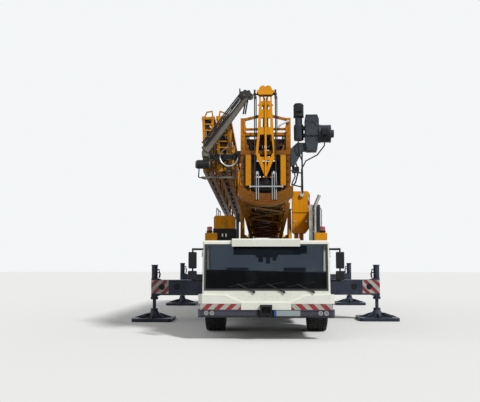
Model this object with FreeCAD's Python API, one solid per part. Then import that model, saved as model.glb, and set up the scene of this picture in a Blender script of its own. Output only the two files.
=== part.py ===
"""Fast-erecting mobile crane: a three-axle low-cab carrier on outriggers, with a slewing
platform that carries a telescopic lattice mast and a folded lattice jib.

Millimetres. +X is the photograph's right, +Y runs to the rear, +Z is up. The sizes below are
written from the slewing axis, and every piece is moved once, at the end, to the part's origin
on the ground at the middle of its outline.
"""

import math
import os

import FreeCAD
import Part

V = FreeCAD.Vector

# Where the slewing axis lies behind the part's origin.
ORIGIN_TO_SLEW_Y = 1900.0

# Carrier
FRONT_Y = -7650.0
REAR_Y = 4300.0
AXLE_Y = {"1": -5550.0, "2": -1050.0, "3": 650.0}
TYRE_R = 745.0
TYRE_W = 445.0
TYRE_OUTER_X = 1375.0
TYRE_BEAD_R = 318.0
RIM_WALL = 20.0
DISC_X = 1200.0
HAND_HOLES = 8
HAND_HOLE_R = 32.0
HAND_HOLE_RING_R = 222.0
KINGPIN_X = 960.0
KINGPIN_R = 42.0
SPINDLE_R = 60.0
SPINDLE_X = 1120.0
STEER_SWEEP_R = 853.0
STEER_INNER_X = 690.0
RAIL_X = 380.0
RAIL_W = 100.0
RAIL_WEB_T = 16.0
RAIL_FLANGE_T = 18.0
RAIL_Z1 = 1400.0
DECK_T = 50.0
DECK_HALF_W = 1190.0
KERB_H = 70.0
KERB_T = 14.0
GUARD_T = 28.0
GUARD_GAP = 62.0
PIN_GAP = 0.4
ARCH_R = STEER_SWEEP_R + 30.0

# Cab and bumper
CAB_HALF_W = 1290.0
GUARD_HALF_W = CAB_HALF_W + 50.0
SEAT_X = 0.48 * CAB_HALF_W
DASH_HALF_W = CAB_HALF_W - 140.0
MIRROR_X = CAB_HALF_W + 190.0
CAB_REAR_Y = -5750.0
CAB_FLOOR_Z = 620.0
CAB_ROOF_Z = 2010.0
CAB_WALL = 50.0
SILL_Z = 990.0
HEADER_Z = 1935.0
SCREEN_LEAN = 120.0
CAB_CORNER_R = 40.0
VISOR_HALF_W = 690.0
VISOR_Z0 = 1885.0
VISOR_Z1 = 2045.0
APRON_OVERHANG = 80.0
APRON_HALF_W = CAB_HALF_W + APRON_OVERHANG
APRON_T = 30.0
APRON_Z0 = CAB_FLOOR_Z
APRON_Z1 = 920.0
REAR_WINDOW = (520.0, 1700.0, 1930.0)
GLASS_T = 8.0
DOOR_Y0 = -7420.0
DOOR_Y1 = -6560.0
DOOR_Z0 = 720.0
DOOR_GAP = 6.0
DOOR_HINGE_Z = (850.0, 1700.0)
HINGE_LEAF_H = 60.0
HINGE_PIN_R = 7.0
MIRROR_ARM_Z = (1200.0, 1830.0)
BEACON_Z0 = 2240.0
BEACON_R = 62.0
BUMPER_LEDGE = 5.0
BUMPER_HALF_W = APRON_HALF_W + BUMPER_LEDGE
BUMPER_Z0 = 460.0
BUMPER_Z1 = 740.0
BUMPER_DEPTH = 180.0
BUMPER_LIP = 40.0
LAMP_X = (1085.0, 1200.0)
LAMP_Z = 555.0
LAMP_R = 45.0
TOW_Z0 = 502.0
TOW_Z1 = 722.0
TOW_PIN_Y = FRONT_Y - 90.0
TOW_PIN_R = 20.0

# Outriggers
OUTRIGGER_Y = {"front": -3050.0, "rear": 3050.0}
STAGGER = 200.0
BEAM_Z0 = 670.0
BEAM_Z1 = 1070.0
BEAM_DEPTH = 340.0
BEAM_GAP = 8.0
BEAM_WALL = 20.0
SLEEVE_WALL = 20.0
RAIL_Z0 = BEAM_Z1 + BEAM_GAP + SLEEVE_WALL
SLEEVE_HALF_W = 1150.0
BEAM_INNER_X = 500.0
JACK_X = 2970.0
JACK_R = 80.0
JACK_ROD_R = 45.0
JACK_Z0 = 555.0
JACK_Z1 = 1470.0
PLATE_W = 1040.0
PLATE_T = 85.0
HUB_Z1 = 320.0

# Slewing platform
RING_R = 700.0
RING_Z1 = 1700.0
PLATFORM_Y0 = -4200.0
PLATFORM_Y1 = 1800.0
PLATFORM_HALF_W = 1375.0
PLATFORM_FOOT_W = 1010.0
PLATFORM_Z1 = 2050.0
RIM_H = 95.0
WALK_T = 20.0
GIRDER_X = (420.0, 520.0)
CABINET_X = (-1350.0, -770.0)
CABINET_Z1 = 2400.0
GENERATOR_X0 = 1190.0
GENERATOR_Y0 = -4190.0
SLEW_GAP = 0.5

# Mast pivot, transport angle and mast
PIVOT_Y = 1300.0
PIVOT_Z = 2380.0
MAST_TILT = 3.47
MAST_PIN_R = 60.0
MAST_HALF_W = 500.0
MAST_Z0 = 2180.0
MAST_Z1 = 3100.0
MAST_Y0 = -7300.0
MAST_Y1 = 1500.0
CHORD = 90.0
LACE = 45.0
MAST_BAYS = 8
INNER_GAP = 12.0
INNER_Y0 = -7900.0
INNER_Y1 = 1100.0

# Mast head, written at the level mast
HEAD_Y0 = INNER_Y0 - 70.0
HEAD_Y1 = INNER_Y0 + 100.0
HEAD_HALF_W = 504.0
LEG_Z0 = 2510.0
BEAM_LINE_Z = 3155.0
BOX_BAR_Z = 3555.0
TUBE_Z = 3684.0
COLUMN_Z1 = 3910.0
OPENING_Z = 3490.0
OPENING_R = 385.0
PAN_AXIS_Z = 3000.0
PAN_R = 870.0
PAN_HALF_W = 545.0
PAN_TOP_Z = 2540.0
STRUT_Z1 = 4560.0

# Slewing winch on the head
GEARBOX_X = (787.0, 1066.0)
GEARBOX_Z = (3228.0, 3506.0, 3955.0)
UPRIGHT_MOTOR_X = 667.0

# Erecting cylinders
RAM_X = 600.0
RAM_BASE_Y = -2900.0
RAM_BASE_Z = 2200.0
RAM_EYE_Y = -300.0
RAM_EYE_Z = 2120.0
RAM_R = 85.0
RAM_ROD_R = 50.0
RAM_EYE_W = 70.0
RAM_PIN_R = 35.0

# Jib
JIB_HINGE_Y = -7350.0
JIB_HINGE_Z = 3300.0
JIB_END_Y = 1950.0
JIB_ROOT_HALF_W = 440.0
JIB_ROOT_Z1 = 3900.0
JIB_CHORD = 70.0
JIB_PIN_X = 515.0
JIB_PIN_R = 30.0
FOLD_PIN_R = 25.0
TIP_PIN_R = 10.0
ROOT_BAYS = 8
FOLD_Z0 = 2890.0
FOLD_Z1 = 4060.0
FOLD_BAYS = 12
FOLD_FRONT_Y = -7600.0
MID_X = (-1030.0, -720.0)
TIP_X = (-1330.0, -1060.0)
FOLD_HINGE_1 = (-600.0, JIB_END_Y - 60)
FOLD_HINGE_2 = ((MID_X[0] + TIP_X[1]) / 2, FOLD_FRONT_Y - 5)
GUY_FOOT_Z = 3225.0
GUY_TOP_Z = 4315.0


def box(x0, x1, y0, y1, z0, z1):
    """A block between two corners, given in any order."""
    xs, ys, zs = sorted((x0, x1)), sorted((y0, y1)), sorted((z0, z1))
    corner = V(xs[0], ys[0], zs[0])
    return Part.makeBox(xs[1] - xs[0], ys[1] - ys[0], zs[1] - zs[0], corner)


def rod_x(x0, x1, y, z, r):
    """A round bar along X."""
    lo, hi = sorted((x0, x1))
    return Part.makeCylinder(r, hi - lo, V(lo, y, z), V(1, 0, 0))


def rod_y(y0, y1, x, z, r):
    """A round bar along Y."""
    return Part.makeCylinder(r, y1 - y0, V(x, y0, z), V(0, 1, 0))


def rod_z(z0, z1, x, y, r):
    """A round bar along Z."""
    return Part.makeCylinder(r, z1 - z0, V(x, y, z0), V(0, 0, 1))


def rod(p, q, r):
    """A round bar from one point to another."""
    return Part.makeCylinder(r, (q - p).Length, p, q - p)


def bar(p, q, width):
    """A square bar from one point to another."""
    span = q - p
    block = Part.makeBox(width, width, span.Length, V(-width / 2, -width / 2, 0))
    block.Placement = FreeCAD.Placement(p, FreeCAD.Rotation(V(0, 0, 1), span))
    return block


def tapered_bar(p, q, start_w, end_w):
    """A square bar whose width changes from one end to the other."""
    span = q - p
    outlines = []
    for width, z in ((start_w, 0.0), (end_w, span.Length)):
        half = width / 2
        corners = [V(-half, -half, z), V(half, -half, z), V(half, half, z), V(-half, half, z)]
        outlines.append(Part.makePolygon(corners + corners[:1]))
    block = Part.makeLoft(outlines, True, True)
    block.Placement = FreeCAD.Placement(p, FreeCAD.Rotation(V(0, 0, 1), span))
    return block


def rounded_box(x0, x1, y0, y1, z0, z1, r):
    """A block with all its edges rounded."""
    block = box(x0, x1, y0, y1, z0, z1)
    return block.makeFillet(r, block.Edges)


def plate_x(points, x0, x1):
    """A plate with an outline of (y, z) points, from x0 to x1."""
    lo, hi = sorted((x0, x1))
    wire = Part.makePolygon([V(lo, y, z) for y, z in points + points[:1]])
    return Part.Face(wire).extrude(V(hi - lo, 0, 0))


def plate_y(points, y0, y1):
    """A plate with an outline of (x, z) points, from y0 to y1."""
    wire = Part.makePolygon([V(x, y0, z) for x, z in points + points[:1]])
    return Part.Face(wire).extrude(V(0, y1 - y0, 0))


def plate_z(points, z0, z1):
    """A plate with an outline of (x, y) points, from z0 to z1."""
    wire = Part.makePolygon([V(x, y, z0) for x, y in points + points[:1]])
    return Part.Face(wire).extrude(V(0, 0, z1 - z0))


def channel(side, x0, x1, web_t, flange_t):
    """A welded girder along the crane: a flange round its side outline, a web in its middle."""
    points = [V(x0, y, z) for y, z in side]
    outline = Part.Face(Part.makePolygon(points + points[:1]))
    across = V(x1 - x0, 0, 0)
    flange = outline.extrude(across).cut(outline.makeOffset2D(-flange_t).extrude(across))
    middle = (x0 + x1) / 2
    return fused([flange, plate_x(side, middle - web_t / 2, middle + web_t / 2)])


def fused(shapes):
    """One solid made of pieces that reach into each other."""
    whole = shapes[0].multiFuse(shapes[1:]) if len(shapes) > 1 else shapes[0]
    return whole.removeSplitter()


def mirrored(shape):
    """The same piece on the other side."""
    return shape.mirror(V(0, 0, 0), V(1, 0, 0))


def pair(shape):
    """A piece and its mirror image, as two solids."""
    return Part.makeCompound([shape, mirrored(shape)])


def truss(chords, faces, bays, chord_w, lace_w):
    """A lattice section. chords is a list of (start, end) points, faces a list of chord pairs
    that zigzag lacing joins, with a straight bar at each end."""
    pieces = [bar(start, end, chord_w) for start, end in chords]

    def along(chord, share):
        start, end = chords[chord]
        reach = 0.5 * chord_w / (end - start).Length
        return start + (end - start) * (reach + share * (1.0 - 2.0 * reach))

    for one, other in faces:
        for bay in range(bays):
            near, far = (one, other) if bay % 2 == 0 else (other, one)
            pieces.append(bar(along(near, bay / bays), along(far, (bay + 1) / bays), lace_w))
        pieces.append(bar(along(one, 0.0), along(other, 0.0), lace_w * 1.2))
        pieces.append(bar(along(one, 1.0), along(other, 1.0), lace_w * 1.2))
    return fused(pieces)


def box_truss(half_w, y0, y1, z0, z1, bays, chord_w, lace_w):
    """A lattice section with four chords, its outer faces at the given sizes."""
    x, low, high = half_w - chord_w / 2, z0 + chord_w / 2, z1 - chord_w / 2
    corners = [(-x, low), (x, low), (x, high), (-x, high)]
    chords = [(V(cx, y0, cz), V(cx, y1, cz)) for cx, cz in corners]
    return truss(chords, [(0, 1), (1, 2), (2, 3), (3, 0)], bays, chord_w, lace_w)


def tilted(shape):
    """A piece of the mast or jib, turned from level to the angle it travels at."""
    return shape.rotate(V(0, PIVOT_Y, PIVOT_Z), V(-1, 0, 0), MAST_TILT)


def tilted_point(y, z):
    """Where a point of the level mast lies at the travelling angle."""
    a = math.radians(MAST_TILT)
    dy, dz = y - PIVOT_Y, z - PIVOT_Z
    return PIVOT_Y + dy * math.cos(a) + dz * math.sin(a), PIVOT_Z - dy * math.sin(a) + dz * math.cos(a)


# Carrier frame
def chassis_frame():
    """Two channel rails that drop to a low fork under the cab, cross members, the tail beam and
    the drum under the slewing ring."""
    fork_z0, fork_z1 = 490.0, CAB_FLOOR_Z
    neck_y, fork_y = CAB_REAR_Y + 120, FRONT_Y + BUMPER_DEPTH
    side = [
        (REAR_Y - 150, RAIL_Z0), (REAR_Y - 150, RAIL_Z1), (neck_y, RAIL_Z1), (neck_y, RAIL_Z0 - 100),
        (-6350, fork_z1), (fork_y, fork_z1), (fork_y, fork_z0), (-6300, fork_z0), (-5000, RAIL_Z0),
    ]
    pieces = [channel(side, s * RAIL_X, s * (RAIL_X + RAIL_W), RAIL_WEB_T, RAIL_FLANGE_T) for s in (-1, 1)]
    reach = RAIL_X + RAIL_W / 2
    for y in (-7200.0, -4600.0, -3050.0, -1900.0, -200.0, 1500.0, 3050.0, REAR_Y - 270):
        in_fork = y < neck_y
        z0, z1 = (fork_z0, fork_z1) if in_fork else (RAIL_Z0 + 20, RAIL_Z1 - 20)
        pieces.append(box(-reach, reach, y, y + 120, z0, z1))
    pieces.append(box(-DECK_HALF_W, DECK_HALF_W, REAR_Y - 150, REAR_Y, RAIL_Z0 - 100, RAIL_Z1))
    pieces.append(Part.makeCylinder(RING_R - 60, RAIL_Z1 - RAIL_Z0 - 40, V(0, 0, RAIL_Z0 + 40)))
    return fused(pieces)


def deck_outline(inset):
    """The deck's plan with its bevelled rear corners, moved inwards by a kerb."""
    x, y0, y1, bevel = DECK_HALF_W - inset, CAB_REAR_Y + 120, REAR_Y - inset, 130.0
    return [(-x, y0), (x, y0), (x, y1 - bevel), (x - bevel, y1), (bevel - x, y1), (-x, y1 - bevel)]


def deck():
    """The walk-on deck: a plate with a raised kerb that is open at the steps, the hoops over
    the wheels, and a lashing well on each side at the rear."""
    z0, z1 = RAIL_Z1, RAIL_Z1 + DECK_T
    plate = plate_z(deck_outline(0.0), z0, z1)
    inside = plate_z(deck_outline(KERB_T), z1 - 6, z1 + KERB_H + 1)
    kerb = plate_z(deck_outline(0.0), z1 - 5, z1 + KERB_H).cut(inside)
    steps = [box(-2000, 2000, y, y + 520, z1, z1 + KERB_H + 1) for y in (-4320.0, -2420.0, 2480.0)]
    steps.append(box(-2000, 2000, CAB_REAR_Y, CAB_REAR_Y + 140, z1, z1 + KERB_H + 1))
    pieces, wells = [plate, kerb.cut(Part.makeCompound(steps))], []
    for axle, y in AXLE_Y.items():
        steered = axle == "1"
        r = ARCH_R if steered else TYRE_R + GUARD_GAP
        inner_x = STEER_INNER_X if steered else TYRE_OUTER_X - TYRE_W - 40
        for s in (-1, 1):
            pieces.append(rod_x(s * inner_x, s * GUARD_HALF_W, y, TYRE_R, r + GUARD_T))
            wells.append(rod_x(s * (inner_x + GUARD_T), s * (GUARD_HALF_W + 10), y, TYRE_R, r))
    for s in (-1, 1):
        for y in (2700.0, 3500.0):
            wells.append(rounded_box(s * 760, s * 980, y, y + 300, z0 + DECK_T / 2, z1 + 60, 20))
    trim = box(-2000, 2000, -8000, 8000, -500, z0)
    cab_side = box(-2000, 2000, -8000, CAB_REAR_Y + 10, 0, 3000)
    return fused(pieces).cut(Part.makeCompound(wells)).cut(trim).cut(cab_side)


# Cab
def cab_profile(inset):
    """The cab's body, moved inwards by a wall, with its front and roof edges rounded."""
    y0, y1 = FRONT_Y + inset, CAB_REAR_Y - inset
    z0, z1 = CAB_FLOOR_Z + inset, CAB_ROOF_Z - inset
    points = [(y0, z0), (y0, SILL_Z), (y0 + SCREEN_LEAN, z1), (y1, z1), (y1, z0)]
    width = CAB_HALF_W - inset
    shell = plate_x(points, -width, width)
    if inset == 0.0:
        edges = []
        for edge in shell.Edges:
            b = edge.BoundBox
            upright = b.XLength < 1 and b.YMax < y0 + SCREEN_LEAN + 1
            if upright or b.ZMin > z1 - 1:
                edges.append(edge)
        shell = shell.makeFillet(CAB_CORNER_R, edges)
    arch = rod_x(-2000, 2000, AXLE_Y["1"], TYRE_R, ARCH_R + inset)
    rear = box(-2000, 2000, AXLE_Y["1"] - 60, CAB_REAR_Y + 10, 0, TYRE_R + ARCH_R + inset)
    return shell.cut(arch).cut(rear)


def screen_y(z):
    """The windscreen's plane: how far back it lies at a height."""
    return FRONT_Y + SCREEN_LEAN * max(0.0, z - SILL_Z) / (CAB_ROOF_Z - SILL_Z)


def door_opening(s, gap):
    """The door's outline with a gap round it: the leaf itself, or the hole cut for it."""
    y0, y1, z0, z1 = DOOR_Y0 - gap, DOOR_Y1 + gap, DOOR_Z0 - gap, HEADER_Z + gap
    points = [(y0, z0), (y0, z1), (y1, z1), (y1, z0)]
    proud = 1 if gap else 0
    return plate_x(points, s * (CAB_HALF_W - CAB_WALL - proud), s * (CAB_HALF_W + proud))


def side_window(s):
    """The window's place in a door, its front edge raked like the windscreen."""
    low, high = SILL_Z + 90, HEADER_Z - 70
    points = [(DOOR_Y0 + 70, low), (DOOR_Y0 + 150, high), (DOOR_Y1 - 70, high), (DOOR_Y1 - 70, low)]
    return plate_x(points, s * (CAB_HALF_W - CAB_WALL - 5), s * (CAB_HALF_W + 5))


def windscreen(outer, inner, margin):
    """A slab in the windscreen's plane, from so far outside it to so far inside."""
    half_w = CAB_HALF_W - CAB_CORNER_R - margin
    low, high = SILL_Z + 12 + margin, HEADER_Z - margin
    outline = [
        (screen_y(low) - outer, low), (screen_y(high) - outer, high),
        (screen_y(high) + inner, high), (screen_y(low) + inner, low),
    ]
    return plate_x(outline, -half_w, half_w)


def rear_window():
    """The window's place in the cab's rear wall."""
    half_w, low, high = REAR_WINDOW
    return box(-half_w, half_w, CAB_REAR_Y - CAB_WALL - 1, CAB_REAR_Y + 1, low, high)


def cab_shell():
    """The hollow cab: window and door openings, the visor box over the windscreen and the
    stepped apron below it, whose upper edge falls from the corners to the middle."""
    shell = cab_profile(0.0).cut(cab_profile(CAB_WALL))
    cuts = [windscreen(60, CAB_WALL + 60, 12), rear_window()]
    for s in (-1, 1):
        cuts.append(door_opening(s, DOOR_GAP))
    face = screen_y(VISOR_Z0)
    visor = plate_x([
        (face - 55, VISOR_Z0), (face - 62, VISOR_Z1 - 25), (face - 30, VISOR_Z1), (face + 780, VISOR_Z1),
        (face + 840, CAB_ROOF_Z - 5), (face + 5, CAB_ROOF_Z - 5), (face - 12, VISOR_Z0),
    ], -VISOR_HALF_W, VISOR_HALF_W)
    half = {}
    for s in (-1, 1):
        half[s] = [(s * 500, APRON_Z0), (s * 500, BUMPER_Z1), (s * APRON_HALF_W, BUMPER_Z1),
                   (s * APRON_HALF_W, APRON_Z1), (s * 810, APRON_Z1 - 15), (s * 490, BUMPER_Z1 + 22)]
    apron = plate_y(half[-1] + half[1][::-1], FRONT_Y - APRON_T, FRONT_Y + 1)
    corner_y, end_y, bevel_x = FRONT_Y + 45, FRONT_Y + 140, APRON_HALF_W - 80
    plan = [(-APRON_HALF_W, end_y), (-APRON_HALF_W, corner_y), (-bevel_x, FRONT_Y - APRON_T),
            (bevel_x, FRONT_Y - APRON_T), (APRON_HALF_W, corner_y), (APRON_HALF_W, end_y)]
    returns = []
    for s in (-1, 1):
        returns.append(box(s * (CAB_HALF_W - 20), s * APRON_HALF_W, FRONT_Y - APRON_T, end_y,
                           BUMPER_Z1, APRON_Z1))
    apron = fused([apron] + returns).common(plate_z(plan, APRON_Z0 - 1, APRON_Z1 + 1))
    apron = apron.cut(cab_profile(CAB_WALL))
    return fused([shell.cut(Part.makeCompound(cuts)), visor, apron] + cab_hinges(-1) + cab_hinges(1))


def cab_glass():
    """The bonded windscreen, which covers its frame, and the rear window."""
    half_w, low, high = REAR_WINDOW
    pane_y = CAB_REAR_Y - 30
    back = box(-half_w, half_w, pane_y, pane_y + GLASS_T, low, high)
    return Part.makeCompound([windscreen(GLASS_T, 0.0, 0.0), back])


def hinge_axis(s):
    """Where a door's hinge pins stand, just outside its front edge."""
    return s * (CAB_HALF_W + 16), DOOR_Y0 - DOOR_GAP / 2


def cab_door(s):
    """A door leaf with its window cut out and the two hinge sleeves on its front edge."""
    x, y = hinge_axis(s)
    pieces = [door_opening(s, 0.0).cut(side_window(s))]
    for z in DOOR_HINGE_Z:
        top = z + HINGE_LEAF_H
        pieces.append(rod_z(z, top, x, y, 14))
        pieces.append(box(x, s * (CAB_HALF_W - 5), y + 3, y + 90, z, top))
        pieces.append(box(x - 6, x + 6, y, y + 60, z, top))
    body = fused(pieces)
    for z in DOOR_HINGE_Z:
        body = body.cut(rod_z(z - 5, z + HINGE_LEAF_H + 5, x, y, HINGE_PIN_R + PIN_GAP))
    return body


def cab_hinges(s):
    """The pins on the cab that the doors hang on, each held above and below the door's sleeve."""
    x, y = hinge_axis(s)
    pieces = []
    for z in DOOR_HINGE_Z:
        pieces.append(rod_z(z - 25, z + HINGE_LEAF_H + 25, x, y, HINGE_PIN_R))
        for z0 in (z - 25, z + HINGE_LEAF_H + 5):
            pieces.append(box(x - 8, x + 8, y - 60, y + 7, z0, z0 + 20))
            pieces.append(box(s * (CAB_HALF_W - 5), x, y - 60, y - 20, z0, z0 + 20))
    return pieces


def door_glass(s):
    """A door's pane, in the middle of the leaf."""
    x = CAB_HALF_W - CAB_WALL / 2
    slab = box(s * (x - GLASS_T / 2), s * (x + GLASS_T / 2), DOOR_Y0, DOOR_Y1, SILL_Z, HEADER_Z)
    return side_window(s).common(slab)


def cab_interior():
    """The dashboard with its leg, column and steering wheel, and two seats on their bases."""
    floor = CAB_FLOOR_Z + CAB_WALL
    front = FRONT_Y + CAB_WALL
    dash = plate_x([(front, SILL_Z - 20), (front + 270, SILL_Z - 60),
                    (front + 300, SILL_Z - 260), (front, SILL_Z - 260)], -DASH_HALF_W, DASH_HALF_W)
    leg = box(-150, 150, front, front + 250, floor, SILL_Z - 250)
    seat_y, seat_z, seat_depth = -7060.0, floor + 320, 490.0
    seat_y1 = seat_y + seat_depth
    seats = []
    for x in (-SEAT_X, SEAT_X):
        base = box(x - 200, x + 200, seat_y + 90, seat_y1 - 60, floor, seat_z - 120)
        cushion = rounded_box(x - 250, x + 250, seat_y, seat_y1, seat_z - 130, seat_z, 30)
        back = plate_x([(seat_y1 - 60, seat_z - 20), (seat_y1, seat_z + 600), (seat_y1 + 50, seat_z + 600),
                        (seat_y1 + 50, seat_z - 20)], x - 240, x + 240)
        seats.append(fused([base, cushion, back]))
    hub = V(SEAT_X, FRONT_Y + 500, SILL_Z + 90)
    column = rod(V(SEAT_X, FRONT_Y + 300, SILL_Z - 120), hub, 30)
    wheel_r, lean = 200.0, math.radians(46.4)
    wheel = Part.makeTorus(wheel_r, 16, hub, V(0, -math.cos(lean), -math.sin(lean)))
    spokes = bar(hub - V(wheel_r - 5, 0, 0), hub + V(wheel_r - 5, 0, 0), 24)
    return Part.makeCompound([fused([dash, leg, column, wheel, spokes])] + seats)


def front_bumper():
    """The plastic bumper with its bevelled corners, the warning boards over it and the recess
    for the coupling."""
    y0, y1 = FRONT_Y - BUMPER_LIP, FRONT_Y + BUMPER_DEPTH
    x, bevel = BUMPER_HALF_W, 45.0
    plan = [(-x, y1), (-x, y0 + 2 * bevel), (bevel - x, y0), (x - bevel, y0), (x, y0 + 2 * bevel), (x, y1)]
    low = BUMPER_Z0 - 1
    under = plate_x([(y0 - 1, low), (y0 - 1, BUMPER_Z0 + 45), (y0 + 70, low)], -x - 1, x + 1)
    groove = box(-x - 1, x + 1, y0 - 1, y0 + 12, CAB_FLOOR_Z - 32, CAB_FLOOR_Z - 20)
    recess = box(-165, 165, y0 - 100, y0 + 60, BUMPER_Z0 + 10, CAB_FLOOR_Z + 10)
    cuts = [under, groove, recess]
    boards = []
    for s in (-1, 1):
        boards.append(box(s * 505, s * (x - bevel), y0 + 10, FRONT_Y, CAB_FLOOR_Z - 20, BUMPER_Z1 - 0.5))
        cuts += [rod_y(y0 - 10, y0 + 25, s * lamp_x, LAMP_Z, LAMP_R + 6) for lamp_x in LAMP_X]
    lower = plate_z(plan, BUMPER_Z0, CAB_FLOOR_Z).cut(Part.makeCompound(cuts))
    return fused([lower] + boards)


def tow_coupling():
    """The jaw in front of the bumper's recess: bevelled body, flared mouth, the pin's bore."""
    y0, y1 = FRONT_Y - 140, FRONT_Y - APRON_T - 1
    z0, z1 = TOW_Z0, TOW_Z1
    side = [(y0, z0 + 35), (y0, z1 - 35), (y0 + 30, z1), (y1, z1), (y1, z0), (y0 + 30, z0)]
    body = plate_x(side, -120, 120)
    mouth = plate_x([(y0 - 5, z0 + 40), (y0 - 5, z1 - 40), (y0 + 35, z1 - 70), (y1 - 18, z1 - 70),
                     (y1 - 18, z0 + 70), (y0 + 35, z0 + 70)], -85, 85)
    shank = box(-90, 90, y1 - 5, FRONT_Y + 20, z0 + 5, CAB_FLOOR_Z - 15)
    bore = rod_z(z0 - 10, z1 + 10, 0, TOW_PIN_Y, TOW_PIN_R)
    return fused([body, shank]).cut(mouth).cut(bore)


def headlamps():
    """Two round lamps in the pockets on each side of the bumper."""
    face = FRONT_Y - BUMPER_LIP
    lamps = [rod_y(face - 4, face + 25, s * x, LAMP_Z, LAMP_R) for s in (-1, 1) for x in LAMP_X]
    return Part.makeCompound(lamps)


def mirrors():
    """On each side a stem on two arms, with the tall main mirror over the wide-angle one."""
    pieces = []
    for s in (-1, 1):
        x, y = s * MIRROR_X, FRONT_Y - 20
        arms = [bar(V(s * (CAB_HALF_W - 10), FRONT_Y + 120, z), V(x, y, z), 30) for z in MIRROR_ARM_Z]
        stem = box(x - 15, x + 15, y - 15, y + 15, MIRROR_ARM_Z[0] - 20, MIRROR_ARM_Z[1] + 20)
        main = rounded_box(x - s * 80, x + s * 85, y - 45, y + 45, 1440, 1775, 22)
        wide = rounded_box(x - s * 85, x + s * 95, y - 45, y + 45, 1215, 1395, 22)
        pieces.append(fused(arms + [stem, main, wide]).cut(cab_profile(0.0)))
    return Part.makeCompound(pieces)


def beacon_brackets():
    """The cranked posts behind the cab that hold the beacons, cut round the front wheel hoops."""
    x0, x1, x2 = 1150.0, 1190.0, 1430.0
    y0, y1 = -5450.0, -5300.0
    foot, top = RAIL_Z1 + DECK_T, BEACON_Z0
    outline = [(y0, foot), (y0, top - 50), (y0 + 50, top), (y1 - 50, top), (y1, top - 50), (y1, foot)]
    guard = rod_x(-2000, 2000, AXLE_Y["1"], TYRE_R, ARCH_R + GUARD_T)
    out = []
    for s in (-1, 1):
        post = plate_x(outline, s * x0, s * x1)
        arm = box(s * x0, s * x2, y0, y1, top - 140, top)
        leg = box(s * x1, s * x2, y0, y0 + 50, top - 440, top - 130)
        out.append(fused([post, arm, leg]).cut(guard))
    return Part.makeCompound(out)


def beacons():
    """The round beacons, each on its low foot."""
    x, y, foot_h, height = 1330.0, -5375.0, 50.0, 150.0
    out = []
    for s in (-1, 1):
        foot = rod_z(BEACON_Z0, BEACON_Z0 + foot_h, s * x, y, 40)
        dome = rod_z(BEACON_Z0 + foot_h - 5, BEACON_Z0 + height, s * x, y, BEACON_R)
        crown = [edge for edge in dome.Edges if edge.BoundBox.ZMin > BEACON_Z0 + height - 1]
        out.append(fused([foot, dome.makeFillet(25, crown)]))
    return Part.makeCompound(out)


def engine_block():
    """The engine and gearbox as one plain block, at their real place between the rails."""
    y0, y1, z0 = -4400.0, -3500.0, 850.0
    return box(-RAIL_X, RAIL_X, y0, y1, z0, RAIL_Z1 - 10)


def side_lockers():
    """Under the deck's edges: tool lockers, the fuel tank, the battery box and two air tanks."""
    edge = DECK_HALF_W - 10
    front, mid, rear = (-4480.0, -3620.0), (-2430.0, -1930.0), (1620.0, 2480.0)
    out = []
    for s in (-1, 1):
        out.append(rounded_box(s * 600, s * edge, front[0], front[1], 640, RAIL_Z1, 25))
        out.append(rounded_box(s * 640, s * edge, rear[0], rear[1], 700, RAIL_Z1, 25))
    out.append(rounded_box(10 - edge, -650, mid[0], mid[1], 680, RAIL_Z1, 110))
    out.append(rounded_box(edge, 700, mid[0], mid[0] + 280, 860, RAIL_Z1, 25))
    tank_x, tank_r = 1020.0, 120.0
    strap_y = (mid[0] + 390, mid[0] + 440)
    for z in (800.0, 1120.0):
        tank = rod_y(mid[0] + 330, mid[1], tank_x, z, tank_r)
        out.append(fused([tank, box(tank_x - 30, tank_x + 30, strap_y[0], strap_y[1], z, RAIL_Z1)]))
    return Part.makeCompound(out)


def axles():
    """Three axle beams with their differentials and spring pads; the first ends in forks for
    the king pins, the others in spindles."""
    out = []
    fork_z, fork_h = 160.0, 50.0
    for axle, y in AXLE_Y.items():
        end = 850.0 if axle == "1" else TYRE_OUTER_X - TYRE_W - 30
        drum = rod_x(-70, 70, y, TYRE_R, 200)
        pieces = [rod_x(-end, end, y, TYRE_R, 72), drum]
        bores = []
        for s in (-1, 1):
            pieces.append(Part.makeCone(200, 85, 190, V(s * 70, y, TYRE_R), V(s, 0, 0)))
            pieces.append(box(s * 560, s * 700, y - 70, y + 70, TYRE_R, RAIL_Z0 - 20))
            if axle == "1":
                for z in (TYRE_R - fork_z, TYRE_R + fork_z - fork_h):
                    pieces.append(box(s * (end - 60), s * (KINGPIN_X + 50), y - 50, y + 50, z, z + fork_h))
                pieces.append(box(s * (end - 60), s * end, y - 50, y + 50, TYRE_R - fork_z, TYRE_R + fork_z))
                bores.append(rod_z(TYRE_R - 200, TYRE_R + 200, s * KINGPIN_X, y, KINGPIN_R + PIN_GAP))
            else:
                pieces.append(rod_x(s * (end - 40), s * SPINDLE_X, y, TYRE_R, SPINDLE_R))
        body = fused(pieces)
        out.append(body.cut(Part.makeCompound(bores)) if bores else body)
    return Part.makeCompound(out)


def spring_seats():
    """Blocks that carry the axles under the rails."""
    out = []
    for y in AXLE_Y.values():
        for s in (-1, 1):
            out.append(box(s * RAIL_X, s * 720, y - 110, y + 110, RAIL_Z0 - 20, RAIL_Z0 + 60))
    return out


def knuckle(s):
    """The king pin with its hub and the spindle that a steered wheel turns on."""
    y = AXLE_Y["1"]
    pin = rod_z(TYRE_R - 165, TYRE_R + 165, s * KINGPIN_X, y, KINGPIN_R)
    hub = rod_z(TYRE_R - 105, TYRE_R + 105, s * KINGPIN_X, y, 80)
    return fused([pin, hub, rod_x(s * KINGPIN_X, s * SPINDLE_X, y, TYRE_R, SPINDLE_R)])


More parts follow.
